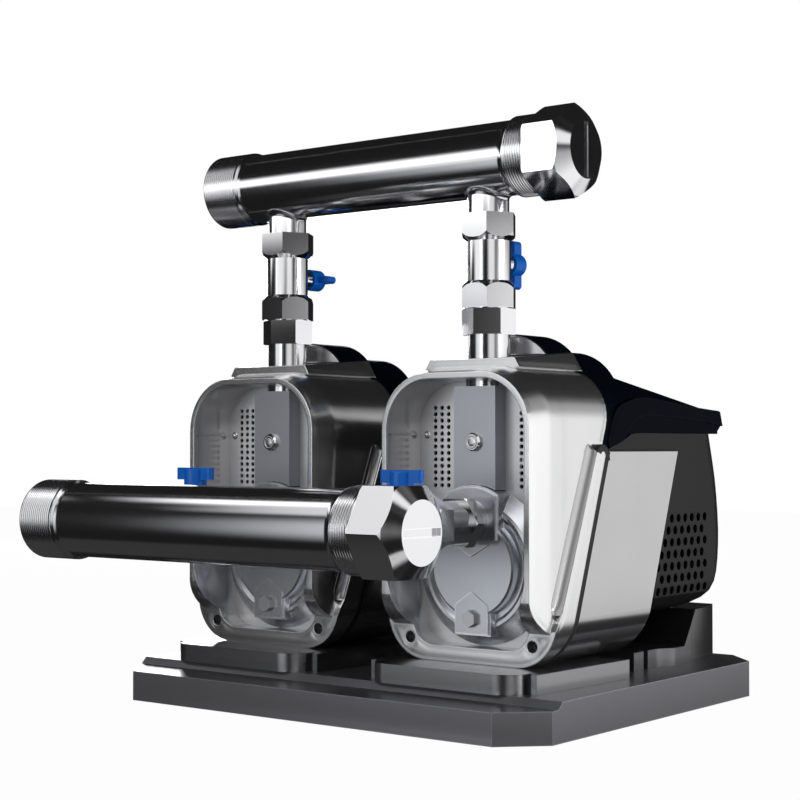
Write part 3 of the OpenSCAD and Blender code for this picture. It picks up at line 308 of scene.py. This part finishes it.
# %% Cards that only reflections see
def card(name, points, u_soft, v_soft, shade, tint=(1, 1, 1)):
    """A studio card from a (rows, cols, 3) grid, bright by shade in its middle and fading at its rim.

    Strength = shade * smooth(min(u, 1 - u) / u_soft) * smooth(min(v, 1 - v) / v_soft), with u from
    row to row and v from column to column. Where the card fades, the rays pass through it.
    """
    sheet = grid_object(name, points)
    rows, cols = points.shape[:2]
    u, v = np.meshgrid(np.linspace(0, 1, rows), np.linspace(0, 1, cols), indexing="ij")
    place = sheet.data.attributes.new("card_place", "FLOAT_VECTOR", "POINT")
    place.data.foreach_set("vector", np.stack([u, v, 0 * u], -1).reshape(-1).astype(np.float32))
    material = bpy.data.materials.new(name)
    tree = empty_tree(material)
    where = chain(tree, "ShaderNodeAttribute", {"attribute_name": "card_place"})
    split = chain(tree, "ShaderNodeSeparateXYZ", links={0: where.outputs["Vector"]})
    fades = []
    for axis, soft in ((0, u_soft), (1, v_soft)):
        off = chain(tree, "ShaderNodeMath", {"operation": "SUBTRACT"}, {1: 0.5},
                    {0: split.outputs[axis]})
        far = chain(tree, "ShaderNodeMath", {"operation": "ABSOLUTE"}, None, {0: off.outputs[0]})
        fade = chain(tree, "ShaderNodeMapRange", {"interpolation_type": "SMOOTHSTEP"},
                     {"From Min": 0.5, "From Max": 0.5 - soft}, {"Value": far.outputs[0]})
        fades.append(fade)
    both = chain(tree, "ShaderNodeMath", {"operation": "MULTIPLY"}, None,
                 {0: fades[0].outputs[0], 1: fades[1].outputs[0]})
    glow = chain(tree, "ShaderNodeEmission", None, {"Color": tint + (1,), "Strength": shade})
    clear = chain(tree, "ShaderNodeBsdfTransparent")
    mix = chain(tree, "ShaderNodeMixShader", None, None,
                {0: both.outputs[0], 1: clear.outputs[0], 2: glow.outputs[0]})
    chain(tree, "ShaderNodeOutputMaterial", links={"Surface": mix.outputs[0]})
    sheet.data.materials.append(material)
    sheet.visible_camera = False
    sheet.visible_diffuse = False
    sheet.visible_shadow = False
    sheet.visible_transmission = False


def flat_card(name, corner, along, across, u_soft, v_soft, shade, tint=(1, 1, 1)):
    """Card through corner + u * along + v * across, u and v from 0 to 1."""
    steps = np.linspace(0, 1, 9)
    u, v = np.meshgrid(steps, steps, indexing="ij")
    points = np.array(corner) + u[..., None] * np.array(along) + v[..., None] * np.array(across)
    card(name, points, u_soft, v_soft, shade, tint)


def dome_card(name, radius, low, high, start, stop, u_soft, v_soft, shade):
    """Part of a sphere: height angle e from low to high, compass angle a from start to stop.

    Point = centre + radius (cos e cos a, cos e sin a, sin e), about a centre inside the set.
    """
    centre = [0, -0.05, 0.25]
    e, a = np.meshgrid(np.radians(np.linspace(low, high, 17)),
                       np.radians(np.linspace(start, stop, 33)), indexing="ij")
    points = radius * np.stack([np.cos(e) * np.cos(a), np.cos(e) * np.sin(a), np.sin(e)], -1)
    card(name, points + centre, u_soft, v_soft, shade)


# The dark room closes round everything, and the cards hang between it and the set.
dome_card("dark_room", 6.0, -89, 89, -180, 180, 0.001, 0.001, 0.015)
flat_card("right_wall", (0.66, -0.38, -0.16), (0, 1.86, 0), (0, 0, 0.70), 0.22, 0.2, 1.15)
flat_card("upper_wall", (0.67, -0.10, 0.16), (0, 2.9, 0), (0, 0, 0.90), 0.2, 0.5, 0.52)
flat_card("cap_flag", (0.264, -0.06, 0.42), (0, 0.18, 0), (0, 0, 0.12), 0.25, 0.25, 0.012)
flat_card("front_left_wall", (-1.15, -1.25, -0.6), (1.45, 0, 0), (0, 0, 1.65), 0.42, 0.42, 0.85,
          (0.95, 0.97, 1))
flat_card("header_strip", (-1.1, -0.44, 0.43), (1.5, 0, 0), (0, 0.12, 0.16), 0.05, 0.4, 2.2)
flat_card("cap_card", (-0.40, -0.56, 0.36), (0.62, 0, 0), (0, 0.16, 0.13), 0.4, 0.3, 1.0)
flat_card("left_flag", (-0.47, -0.40, 0.30), (0.38, 0, 0), (0, 0.13, 0), 0.5, 0.15, 0.015)
flat_card("floor_behind", (0.24, 0.25, 0.004), (0.96, 0, 0), (0, 1.3, 0), 0.25, 0.25, 0.95)
flat_card("floor_in_front", (-0.5, -0.40, 0.004), (0.8, 0, 0), (0, 0.21, 0), 0.1, 0.2, 0.05)
flat_card("nose_card_high", (0.62, -0.42, 0.50), (0, 0.42, 0), (0, 0, 0.26), 0.3, 0.3, 1.1)
flat_card("nose_card_low", (0.29, -0.38, 0.004), (0.14, 0, 0), (0, 0.22, 0), 0.3, 0.3, 0.7)
dome_card("camera_side_card", 4.6, -16, 64, -66, -16, 0.22, 0.35, 1.0)
print("cards:", len([o for o in bpy.data.objects if "card_place" in getattr(o.data, "attributes", {})]))

# %% [markdown]
# One helper builds each finish. The colour is varied a little by the slow cloud, and at the
# edges it turns to the edge colour, a painted highlight where it is lighter, as in most finishes.
# The roughness is varied by the grain and, where there are any, by brushing lines.
# The bump is only as deep as the real surface: a few hundredths of a millimetre at most.

# %% Finish helper
def group_node(tree, group, **values):
    """The node group placed in a material's tree, with its own input values."""
    node = tree.nodes.new("ShaderNodeGroup")
    node.node_tree = group
    for key, value in values.items():
        node.inputs[key.replace("_", " ")].default_value = value
    return node


def finish(name, colour, metallic, roughness, painted_edge_colour=None, grain=900.0, bump=0.00002,
           rough_spread=0.08, cloud=0.05, lines=None, line_spread=0.15, radius=0.0008,
           coat=0.0, specular=0.5, wide=0.0):
    """A procedural finish.

    Colour = colour * (1 + cloud * (2 * noise - 1)), mixed to the edge colour by the edge mask;
    the edge colour is a painted highlight where it is lighter than colour, as in most finishes.
    Roughness = roughness + rough_spread * grain + line_spread * (line - 0.5), where grain lies
    round 0. The edge mask reaches as far as radius. The normal is rounded only where wide is
    given: over wide at a gentle turn, and over radius at a sharp one.
    """
    material = bpy.data.materials.new(name)
    material.use_nodes = True
    tree = material.node_tree
    shader = tree.nodes["Principled BSDF"]
    shader.inputs["Metallic"].default_value = metallic
    shader.inputs["Coat Weight"].default_value = coat
    shader.inputs["Coat Roughness"].default_value = 0.1
    shader.inputs["Specular IOR Level"].default_value = specular
    grain_node = group_node(tree, grain_group, Scale=grain)
    edges = group_node(tree, edge_group, Radius=radius, Wide=wide)
    low = tuple(c * (1 - cloud) for c in colour) + (1,)
    high = tuple(min(1, c * (1 + cloud)) for c in colour) + (1,)
    tint = chain(tree, "ShaderNodeMix", {"data_type": "RGBA"}, {colour_a: low, colour_b: high},
                 {0: grain_node.outputs["Cloud"]})
    # Edges get the edge colour: a painted highlight where it is lighter than the colour, as in most
    # finishes; in the panel paint and the two foot coats the edges turn darker instead.
    rim = tuple(painted_edge_colour or colour) + (1,)
    coloured = chain(tree, "ShaderNodeMix", {"data_type": "RGBA"}, {colour_b: rim},
                     {0: edges.outputs["Edge"], colour_a: tint.outputs[colour_out]})
    tree.links.new(coloured.outputs[colour_out], shader.inputs["Base Color"])
    rough = chain(tree, "ShaderNodeMath", {"operation": "MULTIPLY_ADD"},
                  {1: rough_spread, 2: roughness}, {0: grain_node.outputs["Height"]})
    if lines:
        line_node = group_node(tree, line_group, Along_X=lines[0], Along_Y=lines[1], Along_Z=lines[2])
        off = chain(tree, "ShaderNodeMath", {"operation": "SUBTRACT"}, {1: 0.5},
                    {0: line_node.outputs["Line"]})
        rough = chain(tree, "ShaderNodeMath", {"operation": "MULTIPLY_ADD"}, {1: line_spread},
                      {0: off.outputs[0], 2: rough.outputs[0]})
    tree.links.new(rough.outputs[0], shader.inputs["Roughness"])
    relief = chain(tree, "ShaderNodeBump", values={"Distance": bump, "Strength": 0.6},
                   links={"Height": grain_node.outputs["Height"], "Normal": edges.outputs["Normal"]})
    tree.links.new(relief.outputs[0], shader.inputs["Normal"])
    return material


# %% [markdown]
# The finishes, from the headers down: polished steel tube and its threads, plated
# fittings, satin paint on hoods, panels and riser covers, bead-blasted pump heads, painted
# sleeves, blue-black lids, dark cowls, coated iron feet and base, and blue handles. After
# them come the joints' painted shade, screws and the metals of the parts inside, which few will ever see.

# %% Finishes
# The third colour of a finish is its edge colour, in most finishes a painted highlight on the edges.
tube_steel = finish("polished_tube", (0.62, 0.62, 0.64), 1.0, 0.13, (0.85, 0.85, 0.87), bump=0.000004,
                    rough_spread=0.03, lines=(2600.0, 30.0, 30.0), line_spread=0.10)
riser_steel = finish("polished_riser", (0.66, 0.66, 0.68), 1.0, 0.13, (0.85, 0.85, 0.87), bump=0.000004,
                     rough_spread=0.03, lines=(30.0, 30.0, 2400.0), line_spread=0.10)
thread_steel = finish("cut_thread", (0.72, 0.72, 0.74), 1.0, 0.16, (0.8, 0.8, 0.82), radius=0.00005)
plated = finish("plated_fitting", (0.74, 0.74, 0.76), 1.0, 0.10, (0.95, 0.95, 0.97), bump=0.000003,
                rough_spread=0.04, radius=0.0012)
hood_paint = finish("hood_paint", (0.65, 0.65, 0.655), 0.97, 0.20, (0.78, 0.78, 0.79), grain=1600.0,
                    rough_spread=0.06, radius=0.0012, wide=0.009)
# The hollow foot is part of the hood's casting, and its paint is the hood's made darker: painted shade for
# the hollow.
foot_painted_shade = finish("foot_painted_shade", (0.38, 0.38, 0.385), 0.92, 0.20, grain=1600.0, rough_spread=0.06,
                    radius=0.0004)
arch_light_grey = finish("arch_light_grey", (0.62, 0.62, 0.63), 0.95, 0.24, grain=1600.0, rough_spread=0.06,
                    radius=0.0003)
panel_paint = finish("panel_paint", (0.52, 0.52, 0.535), 0.6, 0.38, (0.5, 0.5, 0.52), grain=1600.0)
riser_paint = finish("riser_paint", (0.36, 0.375, 0.41), 0.75, 0.30, (0.5, 0.52, 0.58), grain=1600.0)
blasted = finish("bead_blasted", (0.58, 0.60, 0.64), 0.97, 0.25, (0.92, 0.93, 0.95), grain=2200.0,
                 bump=0.00003, rough_spread=0.14, radius=0.0018)
sleeve_paint = finish("sleeve_paint", (0.45, 0.45, 0.455), 0.96, 0.15, (0.75, 0.75, 0.76), grain=1600.0,
                      radius=0.0012)
lid_plastic = finish("lid_plastic", (0.0015, 0.0025, 0.006), 0.0, 0.36, (0.012, 0.015, 0.022), grain=1200.0,
                     radius=0.0015, specular=0.01, wide=0.009)
cowl_paint = finish("cowl_paint", (0.006, 0.006, 0.0065), 0.0, 0.36, (0.04, 0.04, 0.05), grain=1500.0,
                    radius=0.0015, specular=0.12, wide=0.008)
foot_coat = finish("foot_coat", (0.29, 0.29, 0.30), 0.97, 0.22, (0.2, 0.2, 0.22), grain=800.0,
                   bump=0.00004, radius=0.0015)
rear_foot_coat = finish("rear_foot_coat", (0.13, 0.13, 0.135), 0.9, 0.25, (0.1, 0.1, 0.11), grain=800.0,
                        bump=0.00004, radius=0.0015)
base_coat = finish("base_coat", (0.20, 0.20, 0.215), 0.8, 0.32, (0.42, 0.42, 0.44), grain=1100.0,
                   bump=0.00004, radius=0.0016)
handle_coat = finish("handle_coat", (0.001, 0.11, 0.50), 0.0, 0.36, (0.005, 0.18, 0.65), grain=500.0,
                     coat=0.08, radius=0.0012, specular=0.15)
# Near-black strips in the joint between hood and sleeve: painted shade for its shadowed gap.
seal_rubber = finish("seal_rubber", (0.008, 0.008, 0.009), 0.0, 0.6, (0.02, 0.02, 0.02), specular=0.3)
black_plastic = finish("black_plastic", (0.015, 0.015, 0.016), 0.0, 0.45, (0.05, 0.05, 0.05))
dark_screw = finish("dark_screw", (0.05, 0.05, 0.055), 0.9, 0.35, (0.2, 0.2, 0.2))
plain_steel = finish("plain_steel", (0.52, 0.52, 0.54), 1.0, 0.3, (0.75, 0.75, 0.77))
cast_metal = finish("cast_metal", (0.45, 0.46, 0.47), 0.9, 0.45, (0.6, 0.6, 0.62), grain=500.0,
                    bump=0.00006)
brass = finish("machined_brass", (0.62, 0.42, 0.16), 1.0, 0.25, (0.8, 0.6, 0.3))
core_steel = finish("core_steel", (0.16, 0.13, 0.10), 0.7, 0.4, (0.3, 0.25, 0.2))
print("materials so far:", len(bpy.data.materials))

# %% [markdown]
# Every part of the set now gets the finish that its maker would give it. The two pumps are
# alike, so one list of parts serves both sides.

# %% Finish of each CAD node
by_name = {
    "base_plate": base_coat, "header_caps": plated, "union_nuts": plated, "branch_nipples": riser_steel,
    "drain_plugs": plain_steel, "vent_plugs": plated, "bearings": plain_steel, "shaft_seals": black_plastic,
    "motor_brackets": cast_metal, "foot_bolts": plain_steel, "housing_screws": dark_screw,
    "cable_glands": black_plastic, "suction_header": tube_steel, "discharge_header": tube_steel,
}
by_part = {
    "front_housing": hood_paint, "front_panel": panel_paint, "riser_cover": riser_paint,
    "pump_head": blasted, "motor_sleeve": sleeve_paint, "top_cover": lid_plastic,
    "rear_cover": cowl_paint, "front_foot": foot_coat, "rear_foot": rear_foot_coat,
    "impeller": brass, "motor_shaft": plain_steel, "rotor": core_steel, "stator": core_steel,
    "cooling_fan": black_plastic, "suction_nipple": tube_steel,
    "discharge_nipple": riser_steel, "suction_valve": plated, "suction_ball": plated,
    "suction_handle": handle_coat, "discharge_valve": plated, "discharge_ball": plated,
    "discharge_handle": handle_coat, "check_disc": brass,
}
for side in ("left", "right"):
    by_name.update({f"{side}_{part}": material for part, material in by_part.items()})
for name, material in by_name.items():
    mesh = nodes[name].data
    mesh.materials.clear()
    mesh.materials.append(material)
print("finished nodes:", len(by_name), "of", len(nodes))

# %% [markdown]
# The headers carry a pipe thread on each end collar. In the CAD it is a plain cylinder
# at the thread's outer radius, because gauges and mounts read it so. Here one closed
# surface of revolution stands for each tube: the radius follows a profile along the
# axis, and on the collars it dips with the phase of a helix.

# %% Threaded headers
header_r = 30.15  # outside radius of both header tubes, in millimetres
suction_axis = (-266.8, 158.3)  # Y and Z of each header's axis, in millimetres
discharge_axis = (-79.5, 450.3)


def threaded_tube(name, x_left, x_right, axis):
    """Closed tube along X, in millimetres.

    Outside radius at (x, angle) = profile(x) - depth * tooth(x / pitch - angle / turn),
    where tooth is a triangle wave cut flat at crest and root, and depth fades out at the
    collar's inner end.
    """
    collar_r, bore_r, spigot_r = 32.6, 26.55, 29.8
    collar, cap, pitch, depth = 37.5, 18.0, 2.35, 1.25
    flank, land = 1.35, 0.18  # slope of a tooth's sides, and what comes off to leave a flat crest
    run_out, bevel = 1.5, 1.6  # length over which the thread fades, and the height of the mouth's bevel
    rows_per_pitch, around = 8, 96
    shoulder = np.array([-0.7, 0.0, 0.5, 1.7, 2.1])  # steps past a collar's end, down to the tube
    left_end = x_left + collar
    right_start = x_right - collar
    cap_face = x_right - cap
    left_x = np.arange(x_left + 1.2, left_end - 0.9, pitch / rows_per_pitch)
    right_x = np.arange(right_start + 0.9, cap_face - 0.4, pitch / rows_per_pitch)
    x = np.concatenate([
        [x_left, x_left + 0.6], left_x, left_end + shoulder,
        np.linspace(left_end + 6.0, right_start - 6.0, 24),
        (right_start - shoulder)[::-1], right_x,
        [cap_face - 0.1, cap_face, cap_face + 0.2, x_right, x_right, x_left],
    ])
    inward = np.minimum(x - left_end, right_start - x)
    radius = np.interp(inward, [0.0, 0.5, 1.9, 2.1],
                       [collar_r, collar_r - 0.3, header_r + 0.1, header_r])
    radius[0] = collar_r - bevel
    radius[-4:-2] = spigot_r
    radius[-2:] = bore_r
    cut = np.zeros(x.shape)
    on_left = (x >= left_x[0]) & (x <= left_x[-1])
    on_right = (x >= right_x[0]) & (x <= right_x[-1])
    cut[on_left] = np.clip((left_x[-1] - x[on_left]) / run_out, 0, 1)
    cut[on_right] = np.clip((x[on_right] - right_x[0]) / run_out, 0, 1)
    angle = np.linspace(0, 2 * np.pi, around + 1)[:-1]
    phase = (x[:, None] / pitch - angle[None, :] / (2 * np.pi)) % 1.0
    tooth = np.clip(flank * np.abs(2 * phase - 1) - land, 0, 1)
    r = radius[:, None] - depth * cut[:, None] * tooth
    points = np.stack([np.broadcast_to(x[:, None], r.shape), axis[0] + r * np.cos(angle),
                       axis[1] + r * np.sin(angle)], -1) / 1000
    tube = grid_object(name, points, wrap_rows=True, wrap_cols=True)
    tube.data.materials.append(tube_steel)
    tube.data.materials.append(thread_steel)
    threaded = np.repeat((on_left | on_right)[:, None], around, 1).reshape(-1)
    tube.data.polygons.foreach_set("material_index", threaded.astype(np.int32))
    print(name, "points:", r.size, "thread pitch in mm:", pitch)
    return tube


suction_tube = threaded_tube("suction_header_tube", -207.55, 161.95, suction_axis)
discharge_tube = threaded_tube("discharge_header_tube", -182.3, 180.3, discharge_axis)
for tube, node in ((suction_tube, "suction_header"), (discharge_tube, "discharge_header")):
    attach(tube, "pump_set")
    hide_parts(node)

# %% [markdown]
# Each branch is welded to its header. A welder leaves a hollow fillet in the corner, where
# the branch's circle meets the header's round, so the line is a saddle. The fillet is swept
# along that saddle, with the faint ripple of the weld.

# %% Weld fillets
pump_x = {"left": -109.0, "right": 109.0}  # X of each pump's middle, in millimetres


def weld_fillet(name, axis, x, along_z):
    """Closed band round a branch of radius r on a header of radius R, in millimetres.

    Saddle point at angle a: r cos a along the header, r sin a across it, and
    sqrt(R^2 - (r sin a)^2) out along the branch. The section is the curve
    (1-t)^2 * on_branch + 2t(1-t) * corner + t^2 * on_header.
    """
    branch_r, leg, ripples, around = 16.6, 3.4, 46, 144
    a = np.linspace(0, 2 * np.pi, around + 1)[:-1]

    def saddle(r, out):
        across = r * np.sin(a)
        return np.stack([r * np.cos(a), across, np.sqrt(header_r ** 2 - across ** 2) + out], -1)

    size = leg * (1 + 0.05 * np.cos(ripples * a))[:, None]
    on_branch = saddle(branch_r, 0.0) + size * [0, 0, 1]
    corner = saddle(branch_r + 0.4, 0.4)
    on_header = saddle(branch_r + leg, 0.05)
    t = np.linspace(0, 1, 9)[None, :, None]
    section = ((1 - t) ** 2 * on_branch[:, None] + 2 * t * (1 - t) * corner[:, None]
               + t ** 2 * on_header[:, None])
    inner = saddle(branch_r - 0.8, -0.9)[:, None]
    local = np.concatenate([section, inner], 1)
    if along_z:
        points = np.stack([local[..., 0] + x, local[..., 1] + axis[0], axis[1] - local[..., 2]], -1)
    else:
        points = np.stack([local[..., 0] + x, local[..., 2] + axis[0], local[..., 1] + axis[1]], -1)
    bead = grid_object(name, points / 1000, wrap_rows=True, wrap_cols=True)
    bead.data.materials.append(riser_steel)
    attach(bead, "pump_set")


def made(part):
    """How many objects have that part in their names."""
    return sum(part in obj.name for obj in bpy.data.objects)


for side, x in pump_x.items():
    weld_fillet(f"{side}_discharge_weld", discharge_axis, x, True)
    weld_fillet(f"{side}_suction_weld", suction_axis, x, False)
print("weld fillets:", made("_weld"))

# %% [markdown]
# A near-black strip in the slanted joint between each front housing and its motor sleeve is
# painted shade for the shadowed gap. It lies in the groove and laps over the flange's rear edge,
# where it stands 0.15 mm proud, and a second strip bends over the flange's round top. In front
# of the flange, the casting runs into the hood in a hollow foot. Each of them is a section
# carried along the flange's edge.

# %% Strips of painted shade and feet of the flange
seam_y, seam_z, seam_lean = -24.4, 215.5, 0.364  # a point of the slanted joint, and its lean in Y per Z
arc_y, arc_z, arc_r = -37.9, 211.0, 8.7  # centre and radius of the flange's round top, in the YZ plane


def casing_outline(inset, bottom):
    """Points (x, z) of a U at inset inside the flange's outline, from its right top to its left top."""
    flange_half, corner_r, top = 82.0, 38.0, 214.0
    half, low, r = flange_half - inset, bottom + inset, corner_r - inset
    turn = np.linspace(0, np.pi / 2, 16)
    side = np.linspace(top, low + r, 14)[:-1]
    x = np.concatenate([np.full(side.shape, half), half - r + r * np.cos(turn)])
    z = np.concatenate([side, low + r - r * np.sin(turn)])
    return np.concatenate([x, -x[::-1]]), np.concatenate([z, z[::-1]])


def joint_shade_strip(name, x_mid, bottom):
    """Closed strip whose section has corners (inset, offset along Y) and follows the joint's slant.

    The joint lies at Y = seam_y + seam_lean * (Z - seam_z).
    """
    corners = [(2.75, -8.4), (0.0, -8.4), (-0.12, -8.2), (-0.15, -2.8), (0.1, -2.4), (0.6, -1.4),
               (1.1, -0.1), (2.75, -0.1)]
    columns = []
    for inset, back in corners:
        x, z = casing_outline(inset, bottom)
        columns.append(np.stack([x + x_mid, back + seam_y + seam_lean * (z - seam_z), z], -1))
    strip = grid_object(name, capped(np.stack(columns, 1)) / 1000, wrap_cols=True)
    # Its near-black colour is painted shade for the joint's gap.
    strip.data.materials.append(seal_rubber)
    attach(strip, "pump_set")


def shade_strip_bend(name, x_mid, sign):
    """Closed strip over the flange's round top, in millimetres.

    Point = centre + r (cos a, sin a), with a from -20 to 160 degrees. The section has corners
    (r, x), and its outer radius falls from 11.2 at the groove to 9.2 on the top.
    """
    a = np.radians(np.linspace(-20, 160, 46))
    inner = a * 0 + 3.4
    outer = 9.2 + 2.0 * np.clip(1 - (a - a[0]) / 0.8, 0, 1) ** 2
    columns = [(inner, 81.2), (inner, 82.05), (a * 0 + 3.6, 82.15), (outer - 0.3, 82.15),
               (outer, 81.9), (outer, 76.1), (outer - 1.0, 75.9), (inner, 75.9)]
    rows = np.stack([np.stack([np.broadcast_to(x_mid + sign * half, a.shape), arc_y + r * np.cos(a),
                               arc_z + r * np.sin(a)], -1) for r, half in columns], 1)
    bend = grid_object(name, capped(rows) / 1000, wrap_cols=True)
    # Like the joint's strip, it is near black: painted shade.
    bend.data.materials.append(seal_rubber)
    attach(bend, "pump_set")


def flange_foot(name, x_mid, sign):
    """Hollow fillet between the hood's wall and the flange, swept along the flange's front edge.

    The path climbs the leaning front edge to the round top. Across it, with t from 0 at the flange
    to 1 on the hood: offset = w t outwards and x = hood_x + h (1 - t)^2.2, in millimetres. The band
    itself is smooth, and its hidden back stays flat so that it can't bend the band's normals.
    """
    hood_x, width, height, hidden = 76.05, 9.5, 5.3, 1.6
    edge_y, edge_z, edge_lean = -99, 89, 0.4234  # a point of the flange's front edge, and its lean
    edge_out = (-0.921, 0.390)  # the way out from that edge, square to it, in Y and Z
    narrower, lower = 4.5, 2.6  # what the fillet's width and height lose along the round top
    climb = np.linspace(86.0, 214.39, 40)
    turn = np.radians(np.linspace(157.0, 140.0, 8))[1:]
    y = np.concatenate([edge_y + edge_lean * (climb - edge_z), arc_y + arc_r * np.cos(turn)])
    z = np.concatenate([climb, arc_z + arc_r * np.sin(turn)])
    out_y = np.concatenate([np.full(climb.shape, edge_out[0]), np.cos(turn)])
    out_z = np.concatenate([np.full(climb.shape, edge_out[1]), np.sin(turn)])
    s = np.linspace(0, 1, 8)[1:]
    w = np.concatenate([width * np.clip((climb - 84) / 10, 0, 1) ** 0.5, width - narrower * s ** 2])
    h = np.concatenate([np.full(climb.shape, height), height - lower * s ** 2])
    t = np.linspace(0, 1, 15)
    offset = np.concatenate([[-hidden], t, [1.0, 0.0]])[None] * w[:, None]
    lift = np.concatenate([[0.80], (1 - t) ** 2.2, [-0.15, -0.15]])[None] * h[:, None]
    rows = np.stack([x_mid + sign * (hood_x + lift), y[:, None] + offset * out_y[:, None],
                     z[:, None] + offset * out_z[:, None]], -1)
    rows[:, 0, 1:] = np.stack([y - hidden * out_y, z - hidden * out_z], -1)
    foot = grid_object(name, capped(rows) / 1000, wrap_cols=True)
    if sign < 0:
        foot.data.flip_normals()
    band = np.zeros((len(rows) + 1, rows.shape[1]), bool)
    band[1:-1, 1:len(t)] = True
    foot.data.polygons.foreach_set("use_smooth", band.reshape(-1))
    # The darker paint is painted shade in the hollow.
    foot.data.materials.append(foot_painted_shade)
    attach(foot, "pump_set")


for side, x in pump_x.items():
    for sign, hand in ((1, "right"), (-1, "left")):
        shade_strip_bend(f"{side}_seal_bend_{hand}", x, sign)
        flange_foot(f"{side}_flange_foot_{hand}", x, sign)
    casing_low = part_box(f"{side}_front_housing")[0][2] * 1000
    joint_shade_strip(f"{side}_joint_seal", x, casing_low)
print("seals:", made("_joint_seal") + made("_seal_bend"), "flange feet:", made("_flange_foot"))
print("casing bottom at mm:", round(casing_low, 2))

# %% [markdown]
# Small details are left. Inside each hood a rib runs along the left cheek and ends beside a
# small domed screw, and the vent plug has a domed face in a pressed ring. On top, a light grey
# sheet lies on the lid's front arch. Screw and plug are turned parts, so a lathe's profile
# spun round an axis makes them.

# %% Rib, screw, plug face and arch facing
cheek_z = 228.0  # height of the rib and the screw on each hood's left cheek, in millimetres


def turned(name, place, profile, material):
    """Surface of revolution about an axis along -Y through place, in millimetres.

    The profile holds (radius r, height h): point = place + (r cos a, -h, r sin a).
    """
    segments = 48
    profile = np.array(profile, float)
    a = np.linspace(0, 2 * np.pi, segments + 1)[:-1]
    points = np.stack([place[0] + profile[:, None, 0] * np.cos(a),
                       place[1] - np.broadcast_to(profile[:, None, 1], (len(profile), segments)),
                       place[2] + profile[:, None, 0] * np.sin(a)], -1)
    piece = grid_object(name, points / 1000, wrap_cols=True)
    piece.data.materials.append(material)
    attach(piece, "pump_set")


def cheek_rib(name, x_mid):
    """Tapered round rib of radius 0.7 (1 - 0.5 s) mm from the rim (s = 0) to the panel (s = 1)."""
    rim_x, rim_y, run_x, run_y = -66.1, -126.5, 2.3, 40.0  # its start, and the way to the panel
    s = np.linspace(0, 1, 24)
    a = np.linspace(0, 2 * np.pi, 17)[:-1]
    centre = np.stack([x_mid + rim_x + run_x * s, rim_y + run_y * s, np.full(s.shape, cheek_z)], -1)
    r = 0.7 * (1 - 0.5 * s) * np.where((s == 0) | (s == 1), 0.02, 1.0)
    ring = np.stack([np.cos(a), 0 * a, np.sin(a)], -1)
    points = centre[:, None] + r[:, None, None] * ring[None]
    rib = grid_object(name, points / 1000, wrap_cols=True)
    rib.data.materials.append(hood_paint)
    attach(rib, "pump_set")


def arch_face(name, x_mid):
    """Light grey sheet on the lid's front arch, in millimetres: a lens between the sill and a circle.

    Top edge z = circle_z + sqrt(circle_r^2 - x^2), and face y = rim_y - depth (1 - (1 - |x| / half)^2).
    """
    half, low, depth = 36.5, 293.3, 2.2
    circle_z, circle_r, rim_y, back_y = 263.6, 46.9, -50.15, -49.9
    across, up = 73, 12
    x = np.linspace(-half, half, across)
    top = np.maximum(circle_z + np.sqrt(circle_r ** 2 - x ** 2), low + 0.02)
    y = rim_y - depth * (1 - (1 - np.abs(x) / half) ** 2)
    front = np.stack([np.broadcast_to(x[:, None], (across, up)), np.broadcast_to(y[:, None], (across, up)),
                      low + (top - low)[:, None] * np.linspace(0, 1, up)], -1)
    back = front[:, [-1, 0]] * [1, 0, 1] + [0, back_y, 0]
    face = grid_object(name, (np.concatenate([front, back], 1) + [x_mid, 0, 0]) / 1000, wrap_cols=True)
    smooth = np.zeros((across - 1, up + 2), bool)
    smooth[:, :up - 1] = True
    face.data.polygons.foreach_set("use_smooth", smooth.reshape(-1))
    face.data.materials.append(arch_light_grey)
    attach(face, "pump_set")


for side, x in pump_x.items():
    arch_face(f"{side}_arch_face", x)
    cheek_rib(f"{side}_cheek_rib", x)
    turned(f"{side}_cheek_screw", (x - 57.7, -86.0, cheek_z),
           [(0.05, 1.9), (1.3, 1.75), (1.9, 1.3), (2.2, 0.6), (2.3, 0.3), (3.2, 0.25), (3.3, 0.02)],
           plated)
    turned(f"{side}_plug_ring", (x, -104.1, 222.0),
           [(0.02, 0.55), (1.6, 0.5), (3.0, 0.3), (3.8, -0.1), (4.2, -0.1), (4.35, 0.3),
            (4.7, 0.45), (5.1, 0.45), (5.4, 0.3), (5.45, -0.2)], plain_steel)
print("hood details:", made("_arch_face") + made("_cheek_") + made("_plug_ring"), "pieces")
